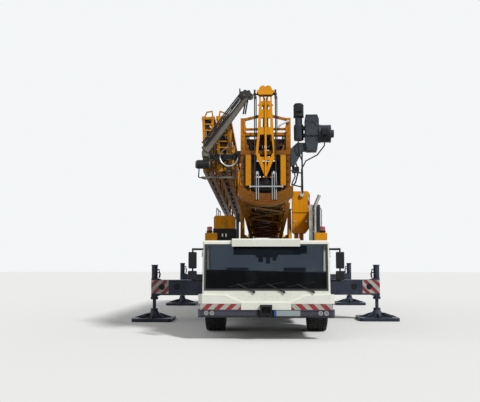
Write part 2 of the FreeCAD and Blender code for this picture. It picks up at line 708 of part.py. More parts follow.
def tyre(s, y):
    inner, outer = TYRE_OUTER_X - TYRE_W, TYRE_OUTER_X
    profile = [
        (inner + 40, TYRE_BEAD_R), (inner, TYRE_BEAD_R + 150), (inner + 12, TYRE_R - 60),
        (inner + 50, TYRE_R - 8), (inner + 110, TYRE_R), (outer - 110, TYRE_R),
        (outer - 50, TYRE_R - 8), (outer - 12, TYRE_R - 60), (outer, TYRE_BEAD_R + 150),
        (outer - 40, TYRE_BEAD_R),
    ]
    return revolved(profile, s, y)


def revolved(profile, s, y):
    """A ring round a wheel's axis, from (x, radius) points of the right-hand side."""
    wire = Part.makePolygon([V(s * x, y, TYRE_R + r) for x, r in profile + profile[:1]])
    ring = Part.Face(wire).revolve(V(0, y, TYRE_R), V(1, 0, 0), 360)
    return Part.Solid(ring.Shells[0]) if ring.Volume > 0 else ring


def rim(s, y):
    """A dished disc wheel with its bead seats, hand holes and hub cover."""
    inner, outer = TYRE_OUTER_X - TYRE_W, TYRE_OUTER_X
    wall = TYRE_BEAD_R - RIM_WALL
    bore = SPINDLE_R + PIN_GAP
    profile = [
        (inner + 40, wall), (inner + 40, TYRE_BEAD_R - 0.3), (outer - 40, TYRE_BEAD_R - 0.3),
        (outer - 40, wall), (DISC_X + 40, wall), (DISC_X, 170), (DISC_X + 60, 150), (DISC_X + 60, bore),
        (DISC_X - 100, bore), (DISC_X - 100, 150), (DISC_X - 40, 175), (DISC_X - 10, wall),
    ]
    disc = revolved(profile, s, y)
    holes = []
    for i in range(HAND_HOLES):
        turn = 2 * math.pi * i / HAND_HOLES
        cy, cz = y + HAND_HOLE_RING_R * math.cos(turn), TYRE_R + HAND_HOLE_RING_R * math.sin(turn)
        holes.append(rod_x(s * (DISC_X - 150), s * (DISC_X + 150), cy, cz, HAND_HOLE_R))
    cap = rod_x(s * (DISC_X - 50), s * (DISC_X + 75), y, TYRE_R, 80)
    return fused([disc.cut(Part.makeCompound(holes)), cap])


# Outriggers
def outrigger_beams():
    """(name, side, y) of the four beams: the left one of a pair lies ahead of the right one."""
    rows = []
    for place, y in OUTRIGGER_Y.items():
        rows.append((place + "_left", -1, y - STAGGER))
        rows.append((place + "_right", 1, y + STAGGER))
    return rows


def outrigger_sleeves():
    """The two cross boxes that the beams slide in, with their wear pads."""
    out = []
    depth = BEAM_DEPTH / 2
    z0, z1 = BEAM_Z0 - BEAM_GAP, BEAM_Z1 + BEAM_GAP
    for y in OUTRIGGER_Y.values():
        half = STAGGER + depth + BEAM_GAP + SLEEVE_WALL
        outer = box(-SLEEVE_HALF_W, SLEEVE_HALF_W, y - half, y + half, z0 - SLEEVE_WALL, z1 + SLEEVE_WALL)
        tunnels, pads = [], []
        for s in (-1, 1):
            mid = y + s * STAGGER
            room = depth + BEAM_GAP
            tunnels.append(box(-SLEEVE_HALF_W - 5, SLEEVE_HALF_W + 5, mid - room, mid + room, z0, z1))
            for x in (s * (SLEEVE_HALF_W - 80), s * (BEAM_INNER_X + 100)):
                pads.append(box(x - 60, x + 60, mid - 120, mid + 120, z0 - 5, BEAM_Z0 - 0.3))
        out.append(fused([outer.cut(Part.makeCompound(tunnels))] + pads))
    return Part.makeCompound(out)


def outrigger_beam(s, y):
    """A beam with the jack's outer tube at its end: a capped tube between two cheek plates."""
    depth = BEAM_DEPTH / 2
    beam = box(s * BEAM_INNER_X, s * (JACK_X - 40), y - depth, y + depth, BEAM_Z0, BEAM_Z1)
    hollow = box(s * (BEAM_INNER_X - 5), s * (JACK_X - 200), y - depth + BEAM_WALL, y + depth - BEAM_WALL,
                 BEAM_Z0 + BEAM_WALL, BEAM_Z1 - BEAM_WALL)
    x = s * JACK_X
    tube = rod_z(JACK_Z0, JACK_Z1, x, y, JACK_R)
    cap = rod_z(JACK_Z1 - 30, JACK_Z1, x, y, JACK_R + 10)
    collar = rod_z(JACK_Z0, JACK_Z0 + 60, x, y, JACK_R + 22)
    cheeks = []
    for side in (-1, 1):
        y0 = y + side * depth
        outline = [(x - s * 260, BEAM_Z0 + 30), (x - s * 260, BEAM_Z1 - 30), (x - s * 30, BEAM_Z1 + 50),
                   (x + s * 60, BEAM_Z1 + 50), (x + s * 60, BEAM_Z0 - 60), (x - s * 30, BEAM_Z0 - 60)]
        cheeks.append(plate_y(outline, min(y0, y0 - side * 16), max(y0, y0 - side * 16)))
    webs = []
    for z in (BEAM_Z0 - 40, BEAM_Z1 + 20):
        webs.append(box(x - s * 40, x + s * 50, y - depth + 10, y + depth - 10, z, z + 16))
    bore = rod_z(JACK_Z0 + 50, JACK_Z1 - 40, x, y, JACK_ROD_R + 6)
    neck = rod_z(JACK_Z0 - 5, JACK_Z0 + 60, x, y, JACK_ROD_R + PIN_GAP)
    return fused([beam.cut(hollow), tube, cap, collar] + cheeks + webs).cut(bore).cut(neck)


def outrigger_jack(s, y):
    """The jack's rod with its foot plate: a square plate with rounded corners, a raised square,
    eight ribs that fall to the edge, and the cone that holds the rod's ball."""
    x = s * JACK_X
    half = PLATE_W / 2
    plate = box(x - half, x + half, y - half, y + half, 0, PLATE_T)
    uprights = [e for e in plate.Edges if e.BoundBox.ZLength > PLATE_T - 1]
    pieces = [plate.makeFillet(90, uprights), rod_z(200, 1080, x, y, JACK_ROD_R)]
    pieces.append(box(x - 260, x + 260, y - 260, y + 260, PLATE_T - 5, PLATE_T + 40))
    pieces.append(Part.makeCone(190, 80, HUB_Z1 - PLATE_T - 80, V(x, y, PLATE_T + 35)))
    pieces.append(rod_z(HUB_Z1 - 55, HUB_Z1, x, y, 95))
    low, edge, crest, rib_x = PLATE_T - 5, PLATE_T + 8, PLATE_T + 110, half - 30
    rib = plate_x([(-rib_x, low), (-rib_x, edge), (-190, crest), (190, crest), (rib_x, edge),
                   (rib_x, low)], -9, 9)
    for turn in (0, 45, 90, 135):
        turned = rib.copy()
        turned.rotate(V(0, 0, 0), V(0, 0, 1), turn)
        turned.translate(V(x, y, 0))
        pieces.append(turned)
    return fused(pieces)


# Slewing platform
def slewing_ring():
    """The fixed half of the slewing ring on the deck."""
    z0 = RAIL_Z1 + DECK_T
    low = Part.makeCylinder(RING_R, RING_Z1 - z0 - SLEW_GAP, V(0, 0, z0))
    return low.cut(Part.makeCylinder(RING_R - 120, RING_Z1, V(0, 0, z0 - 10)))


def platform_outline(inset):
    """The platform's plan, narrower at the mast's foot, moved inwards by its rim."""
    w, foot_w = PLATFORM_HALF_W - inset, PLATFORM_FOOT_W - inset
    y0, y1 = PLATFORM_Y0 + inset, PLATFORM_Y1 - inset
    right = [(w - 80, y0), (w, y0 + 80), (w, -1450), (foot_w, -850), (foot_w, y1 - 240), (foot_w - 240, y1)]
    return right + [(-x, y) for x, y in reversed(right)]


def slew_platform():
    """The welded frame that turns: two girders that deepen towards the ring, cross walls with
    manholes, tapered brackets under a walkway plate with a turned-down rim, and the ears that
    hold the mast and the erecting cylinders."""
    y0, y1, top = PLATFORM_Y0, PLATFORM_Y1, PLATFORM_Z1
    low = RING_Z1 + 170
    side = [(y0 + 30, top - 130), (y0 + 30, top - 10), (y1 - 30, top - 10), (y1 - 30, low), (900, RING_Z1),
            (-900, RING_Z1), (-2300, low)]
    pieces = [channel(side, s * GIRDER_X[0], s * GIRDER_X[1], 25, 25) for s in (-1, 1)]
    plate = plate_z(platform_outline(0.0), top - RIM_H, top)
    pieces.append(plate.cut(plate_z(platform_outline(15.0), top - RIM_H - 1, top - WALK_T)))
    manhole_r = 85.0
    for y in (-2300.0, -900.0, 800.0, y1 - 60):
        wall = box(-GIRDER_X[1], GIRDER_X[1], y, y + 25, low, top - 10)
        holes = [rod_y(y - 5, y + 30, x, (low + top) / 2, manhole_r) for x in (-230.0, 230.0)]
        pieces.append(wall.cut(Part.makeCompound(holes)))
    for y in (-4000.0, -3100.0, -2275.0, -1500.0, -500.0, 800.0, 1450.0):
        edge = PLATFORM_HALF_W if y < -1450 else PLATFORM_FOOT_W
        for s in (-1, 1):
            near, far = s * (GIRDER_X[1] - 5), s * (edge - 10)
            root_z = top - 125 if y < -2500 else low + 10
            bracket = [(near, top - 10), (far, top - 10), (far, top - RIM_H + 5), (near, root_z)]
            pieces.append(plate_y(bracket, y, y + 15))
    pieces.append(Part.makeCylinder(RING_R, 60, V(0, 0, RING_Z1)))
    ear = [(PIVOT_Y - 350, top - 10), (PIVOT_Y - 130, PIVOT_Z + 60), (PIVOT_Y - 60, PIVOT_Z + 140),
           (PIVOT_Y + 60, PIVOT_Z + 140), (PIVOT_Y + 130, PIVOT_Z + 60), (PIVOT_Y + 250, top - 10)]
    ear_x = (MAST_HALF_W + 30, MAST_HALF_W + 80)
    foot = [(RAM_BASE_Y - 220, top - 10), (RAM_BASE_Y - 70, RAM_BASE_Z + 70),
            (RAM_BASE_Y + 70, RAM_BASE_Z + 70), (RAM_BASE_Y + 220, top - 10)]
    for s in (-1, 1):
        pieces.append(plate_x(ear, s * ear_x[0], s * ear_x[1]))
        for y in (PIVOT_Y - 110, PIVOT_Y + 80):
            near = s * (ear_x[1] - 2)
            rib = [(near, top - 10), (near, PIVOT_Z - 90), (s * (ear_x[1] + 120), top - 10)]
            pieces.append(plate_y(rib, y, y + 30))
        for x in (RAM_X - RAM_EYE_W / 2 - 40, RAM_X + RAM_EYE_W / 2 + 8):
            pieces.append(plate_x(foot, s * x, s * (x + 32)))
        reach = RAM_EYE_W / 2 + 42
        pieces.append(rod_x(s * (RAM_X - reach), s * (RAM_X + reach), RAM_BASE_Y, RAM_BASE_Z, RAM_PIN_R))
    bore = rod_x(-ear_x[1] - 10, ear_x[1] + 10, PIVOT_Y, PIVOT_Z, MAST_PIN_R + PIN_GAP)
    return fused(pieces).cut(bore)


def ballast_block():
    """Two stacked cast blocks on feet, with bevelled corners and a lifting pin in the upper one."""
    x0, x1, z0, z1 = 690.0, 1150.0, 2290.0, 3390.0
    y0, y1 = -3650.0, -3200.0
    outline = [(x0 + 40, z0), (x0, z0 + 40), (x0, z1 - 30), (x0 + 30, z1), (x1 - 60, z1), (x1, z1 - 60),
               (x1, z0 + 160), (x1 - 120, z0)]
    seam_z, seam_h = z0 + 520, 25.0
    seam = box(x0 - 10, x1 + 10, y0 - 10, y0 + 18, seam_z, seam_z + seam_h)
    feet = [box(x, x + 100, y0 + 50, y1 - 50, PLATFORM_Z1, z0 + 60) for x in (x0 + 60, x1 - 270)]
    pin = rod_y(y0 - 70, y0 + 60, x0 + 250, z1 - 95, 55)
    return fused([plate_y(outline, y0, y1).cut(seam), pin] + feet)


def control_cabinet():
    """The switch cabinet on its plinth, with rounded edges and a drip groove under its lid."""
    x0, x1 = CABINET_X
    y0, y1 = -4100.0, -3600.0
    body = rounded_box(x0, x1, y0, y1, PLATFORM_Z1 + 50, CABINET_Z1, 18)
    lid_z = CABINET_Z1 - 60
    groove = box(x0 - 5, x1 + 5, y0 - 5, y1 + 5, lid_z, lid_z + 14).cut(
        box(x0 + 8, x1 - 8, y0 + 8, y1 - 8, lid_z - 1, lid_z + 15))
    plinth = box(x0 + 30, x1 - 30, y0 + 30, y1 - 30, PLATFORM_Z1, PLATFORM_Z1 + 60)
    return fused([body.cut(groove), plinth])


def side_block():
    """A low ballast block on the control cabinet, with its lifting pin."""
    x0, x1, z0, z1 = CABINET_X[0] + 20, CABINET_X[1] - 20, CABINET_Z1, CABINET_Z1 + 330
    y0, y1 = -4080.0, -3620.0
    outline = [(x0, z0), (x0, z1 - 40), (x0 + 40, z1), (x1 - 40, z1), (x1, z1 - 40), (x1, z0)]
    pin = rod_y(y0 - 40, y0 + 50, (x0 + x1) / 2, z0 + 180, 45)
    return fused([plate_y(outline, y0, y1), pin])


def generator_set():
    """The upright generator housing on two feet, with rounded edges and rows of air slots."""
    x0, x1, y0, y1, z1 = GENERATOR_X0, PLATFORM_HALF_W, GENERATOR_Y0, -3300.0, 3000.0
    body = rounded_box(x0, x1, y0, y1, PLATFORM_Z1 + 70, z1, 30)
    slots = []
    first_z, pitch, slot_h = 2370.0, 55.0, 22.0
    for row in range(10):
        z = first_z + pitch * row
        slots.append(box(x0 + 30, x1 - 30, y0 - 5, y0 + 15, z, z + slot_h))
        slots.append(box(x1 - 15, x1 + 5, y0 + 130, y0 + 560, z, z + slot_h))
    feet = [box(x0 + 30, x1 - 30, y, y + 90, PLATFORM_Z1, PLATFORM_Z1 + 80) for y in (y0 + 90, y1 - 180)]
    return fused([body.cut(Part.makeCompound(slots))] + feet)


def exhaust():
    """The upright silencer pipe with its slanted outlet, and the shield beside it."""
    shield_y = GENERATOR_Y0 + 10
    shield = box(GENERATOR_X0 - 100, GENERATOR_X0 - 10, shield_y, shield_y + 60, PLATFORM_Z1, 3000)
    low = V(GENERATOR_X0 + 45, GENERATOR_Y0 - 60, 2950)
    high = low + V(115, -12, 280)
    way = (high - low).normalize()
    pipe = rod_z(PLATFORM_Z1 + 50, low.z + 10, low.x, low.y, 34)
    outlet = rod(low, high, 45)
    open_end = rod(high - way * 90, high + way * 5, 38)
    clamps = [box(GENERATOR_X0 - 10, low.x + 25, low.y, GENERATOR_Y0, z, z + 40) for z in (2300.0, 2750.0)]
    return Part.makeCompound([fused([pipe, outlet] + clamps).cut(open_end), shield])


def mast_cradle():
    """The posts beside the mast: a tapered post with a raking brace, a foot plate with a rib,
    and a pad plate on top."""
    out = []
    x, y = 620.0, -3350.0
    for s in (-1, 1):
        z1 = 3000.0 if s < 0 else 2950.0
        post = tapered_bar(V(s * x, y, PLATFORM_Z1), V(s * x, y, z1 - 10), 120, 92)
        brace = bar(V(s * x, y - 480, PLATFORM_Z1 + 32), V(s * x, y - 20, z1 - 420), 55)
        foot = box(s * (x - 70), s * (x + 65), y - 560, y + 130, PLATFORM_Z1, PLATFORM_Z1 + 20)
        rib = plate_x([(y + 120, PLATFORM_Z1 + 15), (y + 40, PLATFORM_Z1 + 15), (y + 40, PLATFORM_Z1 + 160)],
                      s * (x - 8), s * (x + 8))
        pad = box(s * (x - 60), s * (x + 60), y - 70, y + 70, z1 - 20, z1)
        out.append(fused([post, brace, foot, rib, pad]))
    return Part.makeCompound(out)


# Mast
def outer_mast():
    """The outer mast section: four chords with lacing, end webs with the pivot pins, lugs for
    the cylinders, and the pads that guide the inner section."""
    pieces = [box_truss(MAST_HALF_W, MAST_Y0, MAST_Y1, MAST_Z0, MAST_Z1, MAST_BAYS, CHORD, LACE)]
    web_x = (MAST_HALF_W - CHORD + 10, MAST_HALF_W - 10)
    web_z, end_y = PIVOT_Z + 170, MAST_Y1 - 10
    web = [(PIVOT_Y - 400, MAST_Z0 + 10), (PIVOT_Y - 150, web_z), (end_y, web_z), (end_y, MAST_Z0 + 10)]
    lug = [(RAM_EYE_Y - 260, MAST_Z0 + 20), (RAM_EYE_Y + 260, MAST_Z0 + 20),
           (RAM_EYE_Y + 90, RAM_EYE_Z - 60), (RAM_EYE_Y - 90, RAM_EYE_Z - 60)]
    pad_x = MAST_HALF_W - CHORD - INNER_GAP
    pad_z0, pad_z1 = MAST_Z0 + 60, MAST_Z0 + CHORD + INNER_GAP - 0.3
    for s in (-1, 1):
        pieces.append(rod_x(s * (MAST_HALF_W - 60), s * (MAST_HALF_W + 24), PIVOT_Y, PIVOT_Z, 110))
        pieces.append(rod_x(s * (MAST_HALF_W - 60), s * (MAST_HALF_W + 90), PIVOT_Y, PIVOT_Z, MAST_PIN_R))
        pieces.append(plate_x(web, s * web_x[0], s * web_x[1]))
        pieces.append(plate_x(lug, s * web_x[0], s * web_x[1]))
        pieces.append(rod_x(s * web_x[0], s * (MAST_HALF_W + 40), RAM_EYE_Y, RAM_EYE_Z, 62))
        pieces.append(box(s * (pad_x - 66), s * (pad_x - 6), MAST_Y0 + 20, MAST_Y0 + 70, pad_z0, pad_z1))
    return tilted(fused(pieces))


def ram_axis():
    """The base point, the eye and the unit vector of a cylinder at the travelling angle."""
    base = V(0, RAM_BASE_Y, RAM_BASE_Z)
    eye = V(0, *tilted_point(RAM_EYE_Y, RAM_EYE_Z))
    return base, eye, (eye - base).normalize()


def cylinder_barrels():
    """The hollow barrels of the two erecting cylinders, each with the eye at its foot."""
    base, eye, way = ram_axis()
    side = V(RAM_X, 0, 0)
    length = (eye - base).Length
    barrel = rod(side + base + way * 200, side + base + way * (length - 230), RAM_R)
    bore = rod(side + base + way * 260, side + base + way * (length - 290), RAM_ROD_R + 12)
    gland = rod(side + base + way * 300, side + base + way * length, RAM_ROD_R + PIN_GAP)
    eye_end = rod_x(RAM_X - RAM_EYE_W / 2, RAM_X + RAM_EYE_W / 2, base.y, base.z, 75)
    neck = bar(side + base + way * 30, side + base + way * 210, RAM_EYE_W - 2)
    pin_bore = rod_x(RAM_X - 200, RAM_X + 200, base.y, base.z, RAM_PIN_R + PIN_GAP)
    return pair(fused([barrel, eye_end, neck]).cut(bore).cut(gland).cut(pin_bore))


def cylinder_rods():
    """The cylinders' rods, each with the eye and the pin that hold the mast."""
    base, eye, way = ram_axis()
    side = V(RAM_X, 0, 0)
    shaft = rod(side + base + way * 350, side + eye - way * 40, RAM_ROD_R)
    ring = rod_x(RAM_X - RAM_EYE_W / 2, RAM_X + RAM_EYE_W / 2, eye.y, eye.z, 68)
    pin = rod_x(RAM_X - RAM_EYE_W / 2 - 10, RAM_X + RAM_EYE_W / 2 + 20, eye.y, eye.z, RAM_PIN_R)
    return pair(fused([shaft, ring, pin]))


def inner_mast():
    """The inner mast section, which slides in the outer one."""
    gap = CHORD + INNER_GAP
    y0 = INNER_Y0 + 250
    z0, z1 = MAST_Z0 + gap, MAST_Z1 - gap
    return tilted(box_truss(MAST_HALF_W - gap, y0, INNER_Y1, z0, z1, MAST_BAYS, CHORD * 0.8, LACE))


def mast_head():
    """The frame at the inner mast's end: box legs under a crossbeam, columns with the plate
    and its round opening between them, two bars that rise to the strut, and the guard pan."""
    y0, y1 = HEAD_Y0, HEAD_Y1
    out = HEAD_HALF_W
    pieces = [box(-out, out, y0, y1, BEAM_LINE_Z, BEAM_LINE_Z + 85)]
    for s in (-1, 1):
        leg = box(s * 290, s * (out - 90), y0, y1 + 150, LEG_Z0, BEAM_LINE_Z + 30)
        crown = [e for e in leg.Edges if e.BoundBox.ZMin > BEAM_LINE_Z + 29]
        pieces.append(leg.makeFillet(28, crown))
        crest = BEAM_LINE_Z + 20
        cheek = [(s * (out - 95), LEG_Z0), (s * (out - 95), crest), (s * (out - 40), crest),
                 (s * out, BEAM_LINE_Z - 40), (s * out, LEG_Z0 + 120), (s * (out - 30), LEG_Z0)]
        pieces.append(plate_y(cheek, y0 + 15, y1))
        web = [(s * 291, BEAM_LINE_Z + 5), (s * 175, BEAM_LINE_Z + 5), (s * 232, LEG_Z0), (s * 291, LEG_Z0)]
        pieces.append(plate_y(web, y0 + 90, y0 + 120))
        pieces.append(box(s * (out - 94), s * out, y0, y1, BEAM_LINE_Z + 20, COLUMN_Z1))
        outer, inner = V(s * (out - 40), y0 + 60, COLUMN_Z1 - 30), V(s * 120, y0 + 60, COLUMN_Z1 + 55)
        pieces.append(bar(outer, inner, 50))
        outer, inner = V(s * (out - 60), y0 + 130, OPENING_Z - 40), V(s * 180, y0 + 130, OPENING_Z - 170)
        pieces.append(bar(outer, inner, 45))
        pieces.append(box(s * (out - 110), s * (out - 60), y0 - 15, y0 + 30, TUBE_Z - 75, TUBE_Z + 55))
        tie_y = JIB_HINGE_Y + 70
        tie = [(y1 - 10, BEAM_LINE_Z + 10), (y1 - 10, BEAM_LINE_Z + 260), (tie_y, JIB_HINGE_Z + 60),
               (tie_y, JIB_HINGE_Z - 70), (y1 + 100, BEAM_LINE_Z)]
        pieces.append(plate_x(tie, s * (JIB_ROOT_HALF_W + 12), s * (out - 4)))
        pieces.append(box(s * 395, s * (out - 9), y0 + 10, y1, 2330, LEG_Z0 + 20))
    plate = box(-out + 60, out - 60, y0 + 60, y0 + 90, BEAM_LINE_Z + 40, BOX_BAR_Z + 10)
    pieces.append(plate.cut(rod_y(y0 - 10, y1 + 10, 0, OPENING_Z, OPENING_R)))
    pieces.append(rod_x(-out + 20, out - 20, y0 + 30, TUBE_Z, 26))
    pieces.append(box(-out + 5, out - 5, y0 + 20, y1 - 20, BOX_BAR_Z, BOX_BAR_Z + 60))
    reach = box(-PAN_HALF_W, PAN_HALF_W, y0 - 25, y1 + 60, PAN_TOP_Z - 420, PAN_TOP_Z)
    solid = rod_y(y0 - 25, y1 + 60, 0, PAN_AXIS_Z, PAN_R)
    front = solid.cut(rod_y(y0 - 30, y1 + 70, 0, PAN_AXIS_Z + 320, PAN_R + 80))
    front = front.common(box(-900, 900, y0 - 30, y0 + 15, 0, PAN_AXIS_Z))
    floor = solid.cut(rod_y(y0 - 30, y1 + 70, 0, PAN_AXIS_Z, PAN_R - 25))
    pieces += [front.common(reach), floor.common(reach).common(box(-900, 900, y0, y1 + 70, 0, LEG_Z0 - 100))]
    body = fused(pieces)
    bores = [rod_x(s * (JIB_ROOT_HALF_W + 5), s * (out + 16), JIB_HINGE_Y, JIB_HINGE_Z, JIB_PIN_R + PIN_GAP)
             for s in (-1, 1)]
    return tilted(body.cut(Part.makeCompound(bores)))


def top_strut():
    """The tapered strut at the middle of the mast head: a V-shaped foot, two spread chords
    with a rib between them, a windowed web, and the bevelled cap that the ropes run over."""
    face = HEAD_Y0
    web_y0, rib_y0 = face - 60, face - 85
    z_cap, z_flange, z_ribs, z_web = STRUT_Z1, STRUT_Z1 - 100, STRUT_Z1 - 195, STRUT_Z1 - 312
    cap = [(-140, z_flange), (-118, z_cap - 34), (-80, z_cap), (-30, z_cap), (0, z_cap - 29),
           (30, z_cap), (80, z_cap), (118, z_cap - 34), (140, z_flange)]
    flange = [(-165, z_flange + 2), (-178, z_flange - 36), (-130, z_ribs),
              (130, z_ribs), (178, z_flange - 36), (165, z_flange + 2)]
    pieces = [plate_y(cap, face - 95, face + 25), plate_y(flange, face - 115, face + 45)]
    for x in (-111.0, -40.0, 40.0, 111.0):
        pieces.append(box(x - 15, x + 15, web_y0, face, z_web - 20, z_ribs + 5))
    foot_z = BEAM_LINE_Z - 10
    top_x, mid_x, foot_x = 127.0, 163.0, 205.0
    web = plate_y([(-top_x, z_web), (top_x, z_web), (mid_x, BOX_BAR_Z), (-mid_x, BOX_BAR_Z)], web_y0, face)
    windows = []
    for s in (-1, 1):
        windows.append(box(s * 30, s * 78, web_y0 - 5, face + 5, z_web - 175, z_web - 105))
        windows.append(box(s * 34, s * 92, web_y0 - 5, face + 5, z_web - 540, z_web - 350))
        chord = [(s * (mid_x - 48), BOX_BAR_Z + 10), (s * mid_x, BOX_BAR_Z + 10),
                 (s * foot_x, foot_z), (s * (foot_x - 50), foot_z)]
        pieces.append(plate_y(chord, web_y0, face))
    pieces.append(web.cut(Part.makeCompound(windows)))
    vee = [(-foot_x, foot_z + 30), (-foot_x + 70, foot_z + 30), (0, foot_z - 310), (foot_x - 70, foot_z + 30),
           (foot_x, foot_z + 30), (12, foot_z - 460), (-12, foot_z - 460)]
    pieces.append(plate_y(vee, web_y0, face))
    pieces.append(box(-foot_x + 30, foot_x - 30, web_y0, face, foot_z - 110, foot_z - 55))
    pieces.append(box(-18, 18, rib_y0, face, foot_z - 440, z_web))
    return tilted(fused(pieces))


def winch_gear():
    """The slewing winch on the head's right: an eight-sided gearbox between an upright motor
    and a level one, its bracket, and the frame that guides the hoses."""
    y = INNER_Y0 - 20
    x0, x1 = GEARBOX_X
    z0, z_step, z1 = GEARBOX_Z
    case = [(x0 + 30, z0), (x0, z_step), (x0, z1 - 90), (x0 + 15, z1), (x1 - 33, z1), (x1, z1 - 90),
            (x1, z_step), (x1 - 43, z0)]
    cover = [(x0 + 8, z_step + 12), (x0 + 8, z1 - 92), (x0 + 22, z1 - 12), (x1 - 40, z1 - 12),
             (x1 - 8, z1 - 92), (x1 - 8, z_step + 12)]
    pieces = [plate_y(case, y - 130, y + 130), plate_y(cover, y - 152, y - 125)]
    bore = rod_y(y - 155, y - 138, (x0 + x1) / 2, (z_step + z1) / 2, 70)
    pieces = [fused(pieces).cut(bore)]
    bottom = z_step - 50
    for low, high, r in ((0, 312, 95), (308, 493, 72), (488, 728, 97), (723, 751, 85)):
        pieces.append(rod_z(bottom + low, bottom + high, UPRIGHT_MOTOR_X, y, r))
    for z in (bottom + 68, bottom + 218):
        pieces.append(box(UPRIGHT_MOTOR_X, x0 + 10, y - 60, y + 60, z, z + 60))
    motor_z = z_step + 81
    for start, end, r in ((-5, 33, 185), (28, 214, 172), (210, 238, 182), (233, 301, 80)):
        pieces.append(rod_x(x1 + start, x1 + end, y, motor_z, r))
    hanger = [(HEAD_HALF_W, z0 + 50), (HEAD_HALF_W, z0 - 300), (575, z0 - 300), (735, z0), (880, z0 - 3),
              (880, z0 + 160), (635, z0 + 170)]
    pieces.append(plate_y(hanger, y - 60, y + 60))
    guide_x, guide_z0 = 728.0, 2370.0
    pieces.append(box(guide_x - 15, guide_x + 15, y - 15, y + 15, guide_z0, z0 + 20))
    for z in (guide_z0 + 130, guide_z0 + 410):
        pieces.append(bar(V(HEAD_HALF_W + 4, y + 20, z + 60), V(guide_x, y, z), 26))
    return tilted(fused(pieces))


# Jib
def jib_root():
    """The jib's first section: two legs that rise from the hinge, the lattice, and at its end
    the arms and the upright pin of the first fold."""
    x, low = JIB_ROOT_HALF_W - JIB_CHORD / 2, JIB_HINGE_Z
    high = JIB_ROOT_Z1 - JIB_CHORD / 2
    taper = JIB_HINGE_Y + 1500
    corners = ((-x, low), (x, low), (x, high), (-x, high))
    chords = [(V(cx, taper, z), V(cx, JIB_END_Y, z)) for cx, z in corners]
    pieces = [truss(chords, [(0, 1), (1, 2), (2, 3), (3, 0)], ROOT_BAYS, JIB_CHORD, LACE)]
    for s in (-1, 1):
        foot = V(s * x, JIB_HINGE_Y, low)
        pieces.append(bar(foot, V(s * x, taper + 60, low), JIB_CHORD))
        pieces.append(bar(foot, V(s * x, taper + 40, high), JIB_CHORD * 0.9))
        pieces.append(rod_x(s * (x - 40), s * JIB_ROOT_HALF_W, JIB_HINGE_Y, low, 62))
        pieces.append(rod_x(s * x, s * JIB_PIN_X, JIB_HINGE_Y, low, JIB_PIN_R))
    for z in (JIB_HINGE_Z - 40, JIB_ROOT_Z1 - 90):
        pieces.append(box(-JIB_ROOT_HALF_W + 20, FOLD_HINGE_1[0] + 5, JIB_END_Y - 120, JIB_END_Y, z, z + 60))
    pieces.append(rod_z(JIB_HINGE_Z - 60, JIB_ROOT_Z1 - 20, FOLD_HINGE_1[0], FOLD_HINGE_1[1], FOLD_PIN_R))
    return tilted(fused(pieces))


def fold_section(x_range, y0, y1):
    """A lattice section that travels beside the mast, a little narrower at its lower chords."""
    x0, x1 = x_range
    half = JIB_CHORD / 2
    low, high = FOLD_Z0 + half, FOLD_Z1 - half
    corners = [(x0 + half + 40, low), (x1 - half - 40, low), (x1 - half, high), (x0 + half, high)]
    chords = [(V(x, y0, z), V(x, y1, z)) for x, z in corners]
    return truss(chords, [(0, 1), (1, 2), (2, 3), (3, 0)], FOLD_BAYS, JIB_CHORD, LACE)


def jib_mid():
    """The middle section with its end post, the two arms to the first fold's pin, and the lug
    with the second fold's pin at its other end."""
    hx, hy = FOLD_HINGE_1
    pieces = [fold_section(MID_X, FOLD_FRONT_Y, JIB_END_Y - 150)]
    arm_y = (hy - 145, hy - 75)
    for z in (JIB_HINGE_Z + 60, JIB_ROOT_Z1 - 200):
        pieces.append(box(MID_X[0] + 60, hx - 45, arm_y[0], arm_y[1], z, z + 60))
        pieces.append(box(hx - 60, hx + 40, arm_y[0], hy + 40, z, z + 60))
    post_y = JIB_END_Y - 230
    pieces.append(box(MID_X[0] + 100, MID_X[1] - 60, post_y, post_y + 60, FOLD_Z0 + 20, FOLD_Z1 - 20))
    body = fused(pieces).cut(rod_z(JIB_HINGE_Z - 300, JIB_ROOT_Z1 + 200, hx, hy, FOLD_PIN_R + PIN_GAP))
    tx, ty = FOLD_HINGE_2
    low = FOLD_Z0 + 5
    pin = rod_z(low, low + 115, tx, ty, TIP_PIN_R)
    ring = rod_z(low, low + 40, tx, ty, TIP_PIN_R + 10)
    lug = box(tx, MID_X[0] + 60, ty + 2, ty + 25, low, low + 40)
    return tilted(fused([body, pin, ring, lug]))


def jib_tip():
    """The outer section with the lug that turns on the second fold's pin."""
    body = fold_section(TIP_X, FOLD_FRONT_Y + 20, JIB_END_Y - 400)
    tx, ty = FOLD_HINGE_2
    low = FOLD_Z0 + 75
    ring = rod_z(low, low + 40, tx, ty, TIP_PIN_R + 10)
    lug = box(TIP_X[1] - 60, tx, ty + 2, ty + 25, low, low + 40)
    end = box(TIP_X[1] - 65, TIP_X[1] - 5, ty + 2, ty + 60, FOLD_Z0 + 10, low + 40)
    bore = rod_z(FOLD_Z0, FOLD_Z0 + 300, tx, ty, TIP_PIN_R + PIN_GAP)
    return tilted(fused([body, ring, lug, end]).cut(bore))


